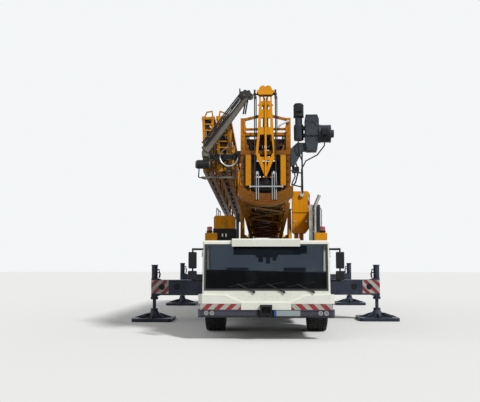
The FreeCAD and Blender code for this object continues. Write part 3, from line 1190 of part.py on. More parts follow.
def guy_strut():
    """The box strut at the jib's foot, tapered to the sheaves at its upper end, with the
    crossbar it stands on, the rope guard ring, the damper and two hose bars."""
    y = HEAD_Y0 - 70
    foot, top = V(-1210, y, GUY_FOOT_Z), V(-380, y, GUY_TOP_Z)
    way = (top - foot).normalize()
    body = tapered_bar(foot, top, 170, 88)
    hollow = tapered_bar(foot - way * 5, foot + way * 420, 142, 118)
    pieces = [body.cut(hollow)]
    for x, rise in ((-452.0, -7.0), (-380.0, 30.0), (-305.0, 23.0)):
        z = GUY_TOP_Z + rise
        for offset in (-38.0, 12.0):
            front_y = y + offset
            sheave = rod_y(front_y, front_y + 26, x, z, 62)
            dish = rod_y(front_y, front_y + 8, x, z, 48).cut(rod_y(front_y, front_y + 8, x, z, 30))
            pieces.append(sheave.cut(dish))
        pieces.append(rod_y(y - 50, y + 50, x, z, 22))
    pieces.append(plate_y([(-500, GUY_TOP_Z - 55), (-470, GUY_TOP_Z + 45), (-290, GUY_TOP_Z + 65),
                           (-270, GUY_TOP_Z + 5), (-400, GUY_TOP_Z - 85)], y - 12, y + 12))
    cross_y0, cross_y1 = FOLD_FRONT_Y - 140, FOLD_FRONT_Y - 60
    cross_z0, cross_z1 = GUY_FOOT_Z - 120, GUY_FOOT_Z
    pieces.append(box(-1270, -1140, y - 60, cross_y1, cross_z0, cross_z1))
    pieces.append(box(-1200, -530, cross_y0, cross_y1, cross_z0, cross_z1))
    pieces.append(box(-620, -JIB_PIN_X, cross_y0, JIB_HINGE_Y + 40, cross_z0, cross_z1))
    pieces.append(box(-620, -JIB_PIN_X, JIB_HINGE_Y - 60, JIB_HINGE_Y + 40, cross_z0, JIB_HINGE_Z + 60))
    ring_x, ring_r = -745.0, 185.0
    ring = Part.makeTorus(ring_r, 15, V(ring_x, cross_y0 - 60, cross_z0 + 40), V(0, 1, 0))
    pieces.append(ring.cut(box(ring_x, 0, -9000, 0, cross_z0 + 60, 9000)))
    for x in (ring_x - ring_r, ring_x + ring_r):
        pieces.append(box(x - 18, x + 18, cross_y0 - 70, cross_y0 + 5, cross_z0 + 5, cross_z0 + 55))
    damper_z = cross_z0 - 148
    for x0, x1, r in ((-1400, -1370, 74), (-1375, -1125, 88), (-1130, -1100, 74)):
        pieces.append(rod_x(x0, x1, y + 40, damper_z, r))
    pieces.append(box(-1260, -1180, y + 10, y + 70, damper_z, cross_z0 + 10))
    post_x, post_z0 = -612.0, 2700.0
    pieces.append(box(post_x - 20, post_x + 20, cross_y0, cross_y0 + 40, post_z0, cross_z0 + 10))
    pieces.append(box(-1310, post_x, cross_y0, cross_y0 + 30, post_z0 + 22, post_z0 + 58))
    pieces.append(box(-870, post_x, cross_y0, cross_y0 + 30, post_z0 + 168, post_z0 + 202))
    return tilted(fused(pieces))


def collect():
    """Every node of the crane, by name."""
    nodes = {}
    frame = fused([chassis_frame()] + spring_seats())
    nodes["chassis_frame"] = frame
    nodes["deck"] = deck()
    nodes["cab_shell"] = cab_shell()
    nodes["cab_glass"] = cab_glass()
    nodes["cab_interior"] = cab_interior()
    nodes["front_bumper"] = front_bumper()
    nodes["headlamps"] = headlamps()
    nodes["tow_coupling"] = tow_coupling()
    nodes["mirrors"] = mirrors()
    nodes["beacon_brackets"] = beacon_brackets()
    nodes["beacons"] = beacons()
    nodes["engine_block"] = engine_block()
    nodes["side_lockers"] = side_lockers()
    nodes["axles"] = axles()
    nodes["outrigger_sleeves"] = outrigger_sleeves()
    nodes["slewing_ring"] = slewing_ring()
    for side, s in (("left", -1), ("right", 1)):
        nodes["door_" + side] = cab_door(s)
        nodes["door_glass_" + side] = door_glass(s)
        nodes["knuckle_" + side] = knuckle(s)
        for axle, y in AXLE_Y.items():
            nodes["tyre_%s_%s" % (side, axle)] = tyre(s, y)
            nodes["rim_%s_%s" % (side, axle)] = rim(s, y)
    for name, s, y in outrigger_beams():
        nodes["beam_" + name] = outrigger_beam(s, y)
        nodes["jack_" + name] = outrigger_jack(s, y)
    nodes["slew_platform"] = slew_platform()
    nodes["ballast_block"] = ballast_block()
    nodes["control_cabinet"] = control_cabinet()
    nodes["side_block"] = side_block()
    nodes["generator_set"] = generator_set()
    nodes["exhaust"] = exhaust()
    nodes["mast_cradle"] = mast_cradle()
    nodes["outer_mast"] = outer_mast()
    nodes["cylinder_barrels"] = cylinder_barrels()
    nodes["cylinder_rods"] = cylinder_rods()
    nodes["inner_mast"] = inner_mast()
    nodes["mast_head"] = mast_head()
    nodes["top_strut"] = top_strut()
    nodes["winch_gear"] = winch_gear()
    nodes["jib_root"] = jib_root()
    nodes["guy_strut"] = guy_strut()
    nodes["jib_mid"] = jib_mid()
    nodes["jib_tip"] = jib_tip()
    return nodes


os.makedirs("parts", exist_ok=True)
for name, shape in collect().items():
    placed = shape.copy()
    placed.translate(V(0, ORIGIN_TO_SLEW_Y, 0))
    placed.exportStep("parts/%s.step" % name)
    b = placed.BoundBox
    size = (b.XMin, b.XMax, b.YMin, b.YMax, b.ZMin, b.ZMax)
    print("%-22s solids %d valid %s vol %.4f" % (name, len(shape.Solids), shape.isValid(),
                                                 shape.Volume / 1e9),
          "x %.0f %.0f  y %.0f %.0f  z %.0f %.0f" % size)
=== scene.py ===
"""Dresses the mobile crane: paint, glass, tyres, ropes and the small parts on its solids.

Metres, in the row's frame: +X is the photograph's right, +Y runs to the rear, +Z is up.
"""
import math

import bmesh
import bpy
from mathutils import Matrix, Vector


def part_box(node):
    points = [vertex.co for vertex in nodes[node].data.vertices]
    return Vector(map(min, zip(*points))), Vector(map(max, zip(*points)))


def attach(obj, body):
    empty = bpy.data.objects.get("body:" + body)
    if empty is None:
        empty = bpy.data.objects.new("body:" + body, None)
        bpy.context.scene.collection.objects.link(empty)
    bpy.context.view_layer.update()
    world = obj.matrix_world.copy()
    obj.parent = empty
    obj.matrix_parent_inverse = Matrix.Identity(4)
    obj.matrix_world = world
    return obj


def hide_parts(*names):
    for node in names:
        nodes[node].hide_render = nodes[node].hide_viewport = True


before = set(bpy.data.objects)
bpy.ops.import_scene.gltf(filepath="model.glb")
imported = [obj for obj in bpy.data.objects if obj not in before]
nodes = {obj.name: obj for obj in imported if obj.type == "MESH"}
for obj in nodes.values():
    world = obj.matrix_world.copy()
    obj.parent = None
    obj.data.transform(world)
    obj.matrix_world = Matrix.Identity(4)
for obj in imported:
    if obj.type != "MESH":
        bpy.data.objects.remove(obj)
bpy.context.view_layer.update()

# Carrier frame and deck: welded channel rails, cross members, sleeves and a folded sheet deck,
# all sprayed with two-pack enamel in slate grey. The deck's walkways have raised tread plate
# bolted on, with gaps for the slewing ring and for the lashing wells in the rear corners.
NOISE = "ShaderNodeTexNoise"
WAVE = "ShaderNodeTexWave"
MATH = "ShaderNodeMath"
SHADE_REACH = 0.30
ENAMEL_SHINE = 0.2


def linear(code):
    """An sRGB hex value as the linear colour that the shader takes."""
    parts = [int(code[i:i + 2], 16) / 255 for i in (0, 2, 4)]
    return [c / 12.92 if c <= 0.04045 else ((c + 0.055) / 1.055) ** 2.4 for c in parts] + [1.0]


def add_node(tree, kind, inputs=None, **settings):
    """Adds a node, with its settings and with values or links for its inputs."""
    made = tree.nodes.new(kind)
    for key, value in settings.items():
        setattr(made, key, value)
    for key, value in (inputs or {}).items():
        if isinstance(value, bpy.types.NodeSocket):
            tree.links.new(value, made.inputs[key])
        else:
            made.inputs[key].default_value = value
    return made


def new_material(name):
    """A material with an empty tree, its output and its object coordinates."""
    made = bpy.data.materials.new(name)
    made.use_nodes = True
    made.node_tree.nodes.clear()
    coords = add_node(made.node_tree, "ShaderNodeTexCoord")
    return made, made.node_tree, coords.outputs["Object"]


def finish_material(tree, shader, bump_height=None, bump_mm=0.5, strength=0.4):
    """Joins a shader to the output, with a bump of the given depth."""
    if bump_height is not None:
        bump = add_node(tree, "ShaderNodeBump", {"Height": bump_height, "Distance": bump_mm / 1000,
                                                 "Strength": strength})
        tree.links.new(bump.outputs["Normal"], shader.inputs["Normal"])
    add_node(tree, "ShaderNodeOutputMaterial", {"Surface": shader.outputs["BSDF"]})


def mixed(tree, share, first, second):
    """One colour turning into another by a share."""
    mix = add_node(tree, "ShaderNodeMix", {"Factor": share}, data_type="RGBA")
    for socket, colour in ((mix.inputs["A"], first), (mix.inputs["B"], second)):
        if isinstance(colour, bpy.types.NodeSocket):
            tree.links.new(colour, socket)
        else:
            socket.default_value = linear(colour)
    return mix.outputs["Result"]


def ramp(tree, value, low, high):
    """A value stretched from low..high to 0..1 and held there."""
    made = add_node(tree, "ShaderNodeMapRange", {"Value": value, "From Min": low, "From Max": high},
                    clamp=True)
    return made.outputs["Result"]


def texture(tree, place, kind, inputs, settings=None):
    """The grey pattern of a texture node on the piece's own coordinates."""
    made = add_node(tree, kind, {"Vector": place, **inputs}, **(settings or {}))
    return made.outputs.get("Fac") or made.outputs["Distance"]


def coated(name, colours, roughness, tone=None, held=None, relief=None, bump_mm=None, **more):
    """A surface of one colour, or of two that the texture tone mixes, stretched between held's
    two values. The texture relief, or else tone, raises it by bump_mm. A texture is a node's
    kind, inputs and settings. What is in more goes to the shader's inputs, with a space for
    each _."""
    made, tree, place = new_material(name)
    mottle = texture(tree, place, *tone) if tone else None
    base = linear(colours[0])
    if len(colours) == 2:
        base = mixed(tree, ramp(tree, mottle, *held) if held else mottle, *colours)
    inputs = {"Base Color": base, "Roughness": roughness}
    inputs.update((key.replace("_", " "), value) for key, value in more.items())
    shader = add_node(tree, "ShaderNodeBsdfPrincipled", inputs)
    height = texture(tree, place, *relief) if relief else mottle
    finish_material(tree, shader, height if bump_mm else None, bump_mm)
    return made


def enamel(name, colour, faded, dust, roughness=0.38, dirt=0.55, shade_tint=None, shade_z=None, lean=0.0):
    """Sprayed enamel on steel plate: an even gloss, paler where the sun has bleached it, with
    dust and thin run marks in patches about half a metre across. An AO node darkens its corners
    towards the shade tint, which is painted shade, and below the second of two heights it takes
    on that tint too, painted shade low down; the heights follow a part that leans by so much per
    metre of its length."""
    patch_m = 0.45
    made, tree, place = new_material(name)
    broad = texture(tree, place, NOISE, {"Scale": 1 / patch_m, "Detail": 5.0, "Roughness": 0.6})
    fine = texture(tree, place, NOISE, {"Scale": 9.0 / patch_m, "Detail": 4.0})
    runs = add_node(tree, "ShaderNodeMapping", {"Vector": place, "Scale": (9.0, 9.0, 0.7)})
    streak = texture(tree, runs.outputs["Vector"], NOISE, {"Scale": 1.6, "Detail": 3.0})
    toned = mixed(tree, ramp(tree, broad, 0.35, 0.7), colour, faded)
    marks = add_node(tree, MATH, {0: streak, 1: fine}, operation="MULTIPLY")
    dusty = ramp(tree, marks.outputs["Value"], 0.26, 0.26 + 0.25 / dirt)
    toned = mixed(tree, dusty, toned, dust)
    # Painted shade: below the given heights the colour darkens towards the shade tint.
    if shade_z:
        spot = add_node(tree, "ShaderNodeSeparateXYZ", {"Vector": place})
        height = add_node(tree, MATH, {0: spot.outputs["Y"], 1: lean, 2: spot.outputs["Z"]},
                          operation="MULTIPLY_ADD")
        low_shade = ramp(tree, height.outputs["Value"], *shade_z)
        share = add_node(tree, MATH, {0: low_shade, 1: 0.7}, operation="MULTIPLY")
        toned = mixed(tree, share.outputs["Value"], toned, shade_tint)
    # Painted shade: an AO node darkens corners and recesses towards the shade tint.
    if shade_tint:
        corner_shade = add_node(tree, "ShaderNodeAmbientOcclusion", {"Distance": SHADE_REACH}, samples=4)
        held = ramp(tree, corner_shade.outputs["AO"], 0.85, 0.25)
        share = add_node(tree, MATH, {0: held, 1: 0.85}, operation="MULTIPLY")
        toned = mixed(tree, share.outputs["Value"], toned, shade_tint)
    rough = add_node(tree, "ShaderNodeMapRange", {"Value": dusty, "To Min": roughness,
                                                  "To Max": roughness + 0.3})
    shader = add_node(tree, "ShaderNodeBsdfPrincipled", {
        "Base Color": toned, "Roughness": rough.outputs["Result"], "Specular IOR Level": ENAMEL_SHINE})
    finish_material(tree, shader, fine, 0.4, 0.25)
    return made


def dress(material, *names):
    """Gives CAD nodes their finish."""
    for name in names:
        slots = nodes[name].data.materials
        slots.clear()
        slots.append(material)


def piece(name, build, material, body):
    """Turns a built mesh into an object with its finish that rides on a body."""
    mesh = bpy.data.meshes.new(name)
    build.to_mesh(mesh)
    build.free()
    mesh.materials.append(material)
    made = bpy.data.objects.new(name, mesh)
    bpy.context.collection.objects.link(made)
    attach(made, body)
    return made


def block(build, low, high):
    """A block between two corners."""
    size = [abs(b - a) for a, b in zip(low, high)]
    middle = [(a + b) / 2 for a, b in zip(low, high)]
    place = Matrix.Translation(middle) @ Matrix.Diagonal((*size, 1.0))
    bmesh.ops.create_cube(build, size=1.0, matrix=place)


# The dark tint 15161A darkens its corners: painted shade.
slate_enamel = enamel("slate_grey_enamel_on_steel", "2E3442", "3C4352", "5C574E", 0.42, shade_tint="15161A")
dress(slate_enamel, "chassis_frame", "side_lockers", "axles", "outrigger_sleeves")
dress(slate_enamel, "knuckle_left", "knuckle_right", "deck")
dress(slate_enamel, *[n for n in nodes if n.startswith(("beam_", "jack_"))])

# Tread plate is aluminium sheet, rolled with short raised bars.
bars = (WAVE, {"Scale": 18.0, "Distortion": 3.0}, {"bands_direction": "DIAGONAL"})
tread_plate = coated("rolled_aluminium_tread_plate", ("6E7278", "90938F"), 0.5,
                     (NOISE, {"Scale": 4.0, "Detail": 6.0}), (0.35, 0.7), bars, 1.5, Metallic=0.7)
deck_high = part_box("deck")[1]
ring_low, ring_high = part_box("slewing_ring")
DECK_TOP = ring_low[2]
TREAD_TOP = DECK_TOP + 0.005
WALK_HALF_W, FRONT_WALK_HALF_W = 1.15, 0.66
WELL_X = (0.76, 0.98)
WELLS_Y = [4.60, 4.90, 5.40, 5.70]
walk_rear_y = deck_high[1] - 0.15
ring_front_y, ring_rear_y = ring_low[1] - 0.06, ring_high[1] + 0.06
build = bmesh.new()
for y0, y1, half in ((-3.70, -2.78, FRONT_WALK_HALF_W), (-2.78, -2.35, WALK_HALF_W),
                     (-1.95, ring_front_y, WALK_HALF_W), (ring_rear_y, walk_rear_y, WELL_X[0])):
    block(build, (-half, y0, DECK_TOP), (half, y1, TREAD_TOP))
for s in (-1, 1):
    block(build, (s * WELL_X[1], ring_rear_y, DECK_TOP), (s * WALK_HALF_W, walk_rear_y, TREAD_TOP))
    edges = [ring_rear_y] + WELLS_Y + [walk_rear_y]
    for y0, y1 in zip(edges[::2], edges[1::2]):
        block(build, (s * WELL_X[0], y0, DECK_TOP), (s * WELL_X[1], y1, TREAD_TOP))
piece("deck_tread_plates", build, tread_plate, "carrier")

# Lamps at the rear and along the deck: red and amber acrylic, moulded in one piece. The rear
# ones sit in boxes of black plastic that are screwed to the tail plate.
black_plastic = enamel("black_moulded_plastic", "141416", "1E1E20", "35332F", 0.5)
red_lens = coated("red_acrylic_lens", ["A01812"], 0.15, Coat_Weight=0.6)
amber_lens = coated("amber_acrylic_lens", ["D87818"], 0.15, Coat_Weight=0.6)


def rod(build, start, end, radius, sides=14):
    """A round bar from one point to another."""
    start, end = Vector(start), Vector(end)
    turn = (end - start).to_track_quat("Z", "Y").to_matrix().to_4x4()
    bmesh.ops.create_cone(build, cap_ends=True, segments=sides, radius1=radius, radius2=radius,
                          depth=(end - start).length,
                          matrix=Matrix.Translation((start + end) / 2) @ turn)


TAIL_LAMP_X, TAIL_LAMP_Z = 0.92, 1.22
DECK_EDGE_X = 1.19
tail_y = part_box("chassis_frame")[1][1]
lens_y = tail_y + 0.045
boxes, reds, ambers = bmesh.new(), bmesh.new(), bmesh.new()
for s in (-1, 1):
    block(boxes, (s * (TAIL_LAMP_X - 0.19), tail_y, TAIL_LAMP_Z - 0.07),
          (s * (TAIL_LAMP_X + 0.19), lens_y, TAIL_LAMP_Z + 0.07))
    for lenses, x in ((reds, TAIL_LAMP_X - 0.1), (ambers, TAIL_LAMP_X + 0.08)):
        rod(lenses, (s * x, lens_y, TAIL_LAMP_Z), (s * x, lens_y + 0.013, TAIL_LAMP_Z), 0.055, 24)
    for y in (-2.2, -0.6, 4.05, 5.6):
        block(ambers, (s * DECK_EDGE_X, y, DECK_TOP - 0.045),
              (s * (DECK_EDGE_X + 0.006), y + 0.1, DECK_TOP - 0.01))
piece("tail_lamp_boxes", boxes, black_plastic, "carrier")
piece("tail_lamp_lenses", reds, red_lens, "carrier")
piece("amber_lamp_lenses", ambers, amber_lens, "carrier")

# Locker fittings: pressed door panels with a paddle latch and two hinges, on each closed box.
LOCKERS = [(-2.58, -1.72, 0.64), (3.52, 4.38, 0.70)]  # front, rear and foot of each box
LOCKER_FACE_X, LOCKER_DOOR_TOP, HINGE_Z = 1.18, 1.34, 1.345
panels, latches = bmesh.new(), bmesh.new()
for y0, y1, z0 in LOCKERS:
    mid_y = (y0 + y1) / 2
    for s in (-1, 1):
        x = s * LOCKER_FACE_X
        block(panels, (x, y0 + 0.05, z0 + 0.07), (x + s * 0.006, y1 - 0.05, LOCKER_DOOR_TOP))
        block(latches, (x, mid_y - 0.06, 0.98), (x + s * 0.02, mid_y + 0.06, 1.06))
        for y in (y0 + 0.16, y1 - 0.24):
            rod(latches, (x + s * 0.012, y, HINGE_Z), (x + s * 0.012, y + 0.08, HINGE_Z), 0.012)
piece("locker_panels", panels, slate_enamel, "carrier")
piece("locker_latches", latches, black_plastic, "carrier")

# Engine and slewing ring in machine grey, oily and dull. The ring is bolted down all round, with
# bright bolts of drawn steel.
# The dark tint 141516 darkens its corners: painted shade.
machine_enamel = enamel("machine_grey_enamel", "33383E", "3E444A", "4C4840", 0.45, shade_tint="141516")
dress(machine_enamel, "engine_block", "slewing_ring", "winch_gear", "generator_set",
      "cylinder_barrels")
steel = coated("bright_drawn_steel", ("B8B8B4", "D8D8D4"), 0.32,
               (NOISE, {"Scale": 40.0, "Detail": 3.0}), bump_mm=0.1, Metallic=1.0)


def copies(name, item, places, material, body):
    """Copies of one small mesh, made with Geometry Nodes. places is a list of (point, way): the
    item's Z axis turns to the way it faces."""
    mould = bpy.data.meshes.new(name + "_mould")
    item.to_mesh(mould)
    item.free()
    mould_object = bpy.data.objects.new(name + "_mould", mould)
    bpy.context.collection.objects.link(mould_object)
    spots = bpy.data.meshes.new(name)
    spots.from_pydata([tuple(point) for point, way in places], [], [])
    facing = spots.attributes.new("facing", "FLOAT_VECTOR", "POINT")
    for i, (point, way) in enumerate(places):
        facing.data[i].vector = way
    made = bpy.data.objects.new(name, spots)
    bpy.context.collection.objects.link(made)
    tree = bpy.data.node_groups.new(name + "_copies", "GeometryNodeTree")
    ports = tree.interface
    ports.new_socket("Places", in_out="INPUT", socket_type="NodeSocketGeometry")
    item_socket = ports.new_socket("Item", in_out="INPUT", socket_type="NodeSocketObject")
    finish_socket = ports.new_socket("Finish", in_out="INPUT", socket_type="NodeSocketMaterial")
    ports.new_socket("Copies", in_out="OUTPUT", socket_type="NodeSocketGeometry")
    given = add_node(tree, "NodeGroupInput")
    way = add_node(tree, "GeometryNodeInputNamedAttribute", {"Name": "facing"}, data_type="FLOAT_VECTOR")
    turn = add_node(tree, "FunctionNodeAlignRotationToVector", {"Vector": way.outputs["Attribute"]},
                    axis="Z")
    shape = add_node(tree, "GeometryNodeObjectInfo", {"Object": given.outputs["Item"]})
    placed = add_node(tree, "GeometryNodeInstanceOnPoints", {
        "Points": given.outputs["Places"], "Instance": shape.outputs["Geometry"],
        "Rotation": turn.outputs["Rotation"]})
    real = add_node(tree, "GeometryNodeRealizeInstances", {"Geometry": placed.outputs["Instances"]})
    painted = add_node(tree, "GeometryNodeSetMaterial", {
        "Geometry": real.outputs["Geometry"], "Material": given.outputs["Finish"]})
    add_node(tree, "NodeGroupOutput", {"Copies": painted.outputs["Geometry"]})
    modifier = made.modifiers.new("copies", "NODES")
    modifier.node_group = tree
    modifier[item_socket.identifier] = mould_object
    modifier[finish_socket.identifier] = material
    finished = made.evaluated_get(bpy.context.evaluated_depsgraph_get())
    baked = bpy.data.meshes.new_from_object(finished)
    made.modifiers.clear()
    made.data = baked
    bpy.data.objects.remove(mould_object)
    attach(made, body)
    return made


def hex_bolt(across, height):
    """A hexagon bolt head on a washer, standing on Z."""
    item = bmesh.new()
    rod(item, (0, 0, 0), (0, 0, 0.004), across * 0.75, 16)
    rod(item, (0, 0, 0.003), (0, 0, height), across * 0.55, 6)
    return item


def angles(count, start=0.0):
    """Equal turns round a circle, in radians."""
    return [2 * math.pi * (i + start) / count for i in range(count)]


RING_BOLTS = 36
ring_r = (ring_high[0] - ring_low[0]) / 2
ring_y = (ring_low[1] + ring_high[1]) / 2
ring_bolt_z = ring_low[2] + 0.06
ring_bolts = [((ring_r * math.cos(a), ring_y + ring_r * math.sin(a), ring_bolt_z),
               (math.cos(a), math.sin(a), 0.0)) for a in angles(RING_BOLTS)]
copies("slewing_ring_bolts", hex_bolt(0.04, 0.025), ring_bolts, steel, "carrier")

# Tyres: moulded natural rubber, matt and grey with road dust. The carcass is turned from its
# section, and the tread is four rows of blocks moulded on it, their tops at the CAD tyre's radius.
rubber = coated("moulded_tyre_rubber", ("18181A", "3A3835"), 0.85,
                (NOISE, {"Scale": 6.0, "Detail": 6.0}), (0.4, 0.75), bump_mm=0.6)
BEAD_R = 0.318
TREAD_DEPTH = 0.016
TREAD_BLOCK = (0.088, 0.058, 2 * TREAD_DEPTH, 1.0)
TREAD_BLOCK_TURN = 0.35
BLOCKS_ROUND = 54
BLOCK_ROWS = (-0.155, -0.052, 0.052, 0.155)
TYRE_SIDES = 96
WHEELS = [(side, axle) for side in ("left", "right") for axle in ("1", "2", "3")]
for side, axle in WHEELS:
    low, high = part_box("tyre_%s_%s" % (side, axle))
    mid = [(a + b) / 2 for a, b in zip(low, high)]
    half_w, outer_r = (high[0] - low[0]) / 2, (high[2] - low[2]) / 2
    tread_r = outer_r - TREAD_DEPTH
    # Half of the section: how far each point lies inside the tyre's face, and its radius.
    half_section = [
        (0.040, BEAD_R), (0.022, BEAD_R + 0.03), (0.026, BEAD_R + 0.045), (0.006, BEAD_R + 0.12),
        (0.0, BEAD_R + 0.19), (0.004, BEAD_R + 0.25), (0.016, outer_r - 0.085),
        (0.006, outer_r - 0.06), (0.030, tread_r - 0.012), (0.055, tread_r),
    ]
    section = [(half_w - inset, r) for inset, r in half_section]
    section = section + [(-x, r) for x, r in reversed(section)]
    build = bmesh.new()
    rings = [[build.verts.new((mid[0] + x, mid[1] + r * math.sin(a), mid[2] + r * math.cos(a)))
              for x, r in section] for a in angles(TYRE_SIDES)]
    for near, far in zip(rings, rings[1:] + rings[:1]):
        for j in range(len(section)):
            k = (j + 1) % len(section)
            build.faces.new((near[j], near[k], far[k], far[j]))
    for row, x in enumerate(BLOCK_ROWS):
        lean = Matrix.Rotation(TREAD_BLOCK_TURN * (-1) ** row, 4, "Z")
        for a in angles(BLOCKS_ROUND, 0.5 * (row % 2)):
            spot = Matrix.Rotation(-a, 4, "X") @ Matrix.Translation((0, 0, outer_r - TREAD_DEPTH * 1.02))
            place = Matrix.Translation((mid[0] + x, mid[1], mid[2])) @ spot @ lean
            bmesh.ops.create_cube(build, size=1.0, matrix=place @ Matrix.Diagonal(TREAD_BLOCK))
    bmesh.ops.recalc_face_normals(build, faces=build.faces)
    wheel = "wheel_%s_%s" % (side, axle)
    tyre = piece("tyre_with_tread_%s_%s" % (side, axle), build, rubber, wheel)
    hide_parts("tyre_%s_%s" % (side, axle))

# Wheel discs: pressed steel in pale grey enamel, held by ten nuts, with a hub cover.
rim_enamel = enamel("wheel_grey_enamel", "8E8E88", "A2A29A", "6A6258", 0.4)
dress(rim_enamel, *[n for n in nodes if n.startswith("rim_")])
NUTS, NUT_RING_R, NUT_FACE_X = 10, 0.115, 1.256
for side, axle in WHEELS:
    low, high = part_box("tyre_%s_%s" % (side, axle))
    s = -1 if side == "left" else 1
    y, z = (low[1] + high[1]) / 2, (low[2] + high[2]) / 2
    nuts = [((s * NUT_FACE_X, y + NUT_RING_R * math.cos(a), z + NUT_RING_R * math.sin(a)), (s, 0, 0))
            for a in angles(NUTS)]
    wheel = "wheel_%s_%s" % (side, axle)
    copies("wheel_nuts_%s_%s" % (side, axle), hex_bolt(0.03, 0.035), nuts, steel, wheel)

# Cab: a pressed steel shell in gloss white, with black rubber round its glass, handles and
# steps at the doors, and marker lamps screwed to its sides.
cab_enamel = enamel("cab_white_enamel", "E0E1D4", "E6E7DC", "A8A394", 0.22, dirt=0.25)
dress(cab_enamel, "cab_shell", "door_left", "door_right")
dress(black_plastic, "cab_interior", "mirrors", "tow_coupling", "control_cabinet")
CAB_FRONT_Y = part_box("front_bumper")[0][1] + 0.04
CAB_HALF_W = 1.29

# Glass: laminated float glass, tinted grey-green, bonded to the frame by a black ceramic band.
# Its colour is painted light and shade: near-black and nearly opaque in the lower half for the
# dashboard and the seats in shade, blue-grey and clear in the upper half for daylight through
# the cab; the line between the two sags and rises a little across the cab.
LIGHT_LINE_Z, LIGHT_LINE_BLUR = 1.395, 0.012
SAG_DEPTH, SAG_WAVES = 0.022, 1.3
glass, tree, place = new_material("tinted_laminated_glass")
split = add_node(tree, "ShaderNodeSeparateXYZ", {"Vector": place})
turns = add_node(tree, MATH, {0: split.outputs["X"], 1: SAG_WAVES}, operation="MULTIPLY")
sag = add_node(tree, MATH, {0: turns.outputs["Value"]}, operation="SINE")
height = add_node(tree, MATH, {0: sag.outputs["Value"], 1: SAG_DEPTH, 2: split.outputs["Z"]},
                  operation="MULTIPLY_ADD")
upper = ramp(tree, height.outputs["Value"], LIGHT_LINE_Z - LIGHT_LINE_BLUR, LIGHT_LINE_Z + LIGHT_LINE_BLUR)
cloud = texture(tree, place, NOISE, {"Scale": 2.2, "Detail": 3.0})
# Painted light and shade: blue-grey daylight in the upper half, near-black cab shade in the lower.
painted_daylight = mixed(tree, ramp(tree, cloud, 0.4, 0.65), "303C49", "46525C")
shade = mixed(tree, ramp(tree, cloud, 0.45, 0.7), "07080A", "171B1D")
opacity = add_node(tree, "ShaderNodeMapRange", {"Value": upper, "To Min": 0.96, "To Max": 0.10})
finish_material(tree, add_node(tree, "ShaderNodeBsdfPrincipled", {
    "Base Color": mixed(tree, upper, shade, painted_daylight), "Roughness": 0.09, "Specular IOR Level": 0.06,
    "Alpha": opacity.outputs["Result"]}))
dress(glass, "cab_glass", "door_glass_left", "door_glass_right")
ceramic = coated("black_ceramic_band", ["08090B"], 0.12, Coat_Weight=0.5)
glass_low, glass_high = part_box("cab_glass")
SCREEN_RISE, SCREEN_LEAN = 1.02, 0.12


def on_screen(x, z, out=0.0):
    """A point on the windscreen's outer face, or so far in front of it."""
    return Vector((x, glass_low[1] + SCREEN_LEAN * (z - glass_low[2]) / SCREEN_RISE - out, z))


def screen_strip(build, x0, x1, z0, z1, out, thick):
    """A thin plate that lies on the windscreen's plane."""
    corners = [build.verts.new(on_screen(x, z, out + t)) for t in (0.0, thick)
               for x, z in ((x0, z0), (x1, z0), (x1, z1), (x0, z1))]
    for face in ((0, 1, 2, 3), (7, 6, 5, 4), (0, 4, 5, 1), (1, 5, 6, 2), (2, 6, 7, 3), (3, 7, 4, 0)):
        build.faces.new([corners[i] for i in face])


BAND_W = 0.035
screen_x, screen_z0, screen_z1 = glass_high[0], glass_low[2], glass_high[2]
inner_x = screen_x - BAND_W
build = bmesh.new()
for x0, x1, z0, z1 in ((-screen_x, -inner_x, screen_z0, screen_z1),
                       (screen_x, inner_x, screen_z0, screen_z1),
                       (-inner_x, inner_x, screen_z0, screen_z0 + BAND_W),
                       (-inner_x, inner_x, screen_z1 - BAND_W, screen_z1)):
    screen_strip(build, x0, x1, z0, z1, 0.0005, 0.001)
bmesh.ops.recalc_face_normals(build, faces=build.faces)
piece("windscreen_band", build, ceramic, "carrier")

# Cab lining: foam-backed cloth on the rear wall, the roof and the seats' fronts, pale from a glow:
# its emission is painted light that stands in for daylight from the side windows and the roof hatch.
glowing_lining = coated("grey_blue_cab_lining_painted_glow", ["2C343C"], 0.9, relief=(NOISE, {"Scale": 300.0, "Detail": 2.0}),
                bump_mm=0.5, Emission_Color=linear("566270"), Emission_Strength=0.42)
LINING_HALF_W, LINING_Y, LINING_T = 1.22, -4.47, 0.012
ROOF_LINING_Z = 1.935
SEAT_X, SEAT_HALF_W, SEAT_FRONT_Y = 0.619, 0.245, -4.672
lining_front_y = LINING_Y - LINING_T
build = bmesh.new()
block(build, (-LINING_HALF_W, lining_front_y, 1.36), (LINING_HALF_W, LINING_Y, 1.94))
block(build, (-LINING_HALF_W, CAB_FRONT_Y + 0.16, ROOF_LINING_Z),
      (LINING_HALF_W, lining_front_y, ROOF_LINING_Z + 0.02))
for s in (-1, 1):
    block(build, (s * (SEAT_X - SEAT_HALF_W), SEAT_FRONT_Y - LINING_T, 1.02),
          (s * (SEAT_X + SEAT_HALF_W), SEAT_FRONT_Y, 1.592))
piece("cab_lining", build, glowing_lining, "carrier")

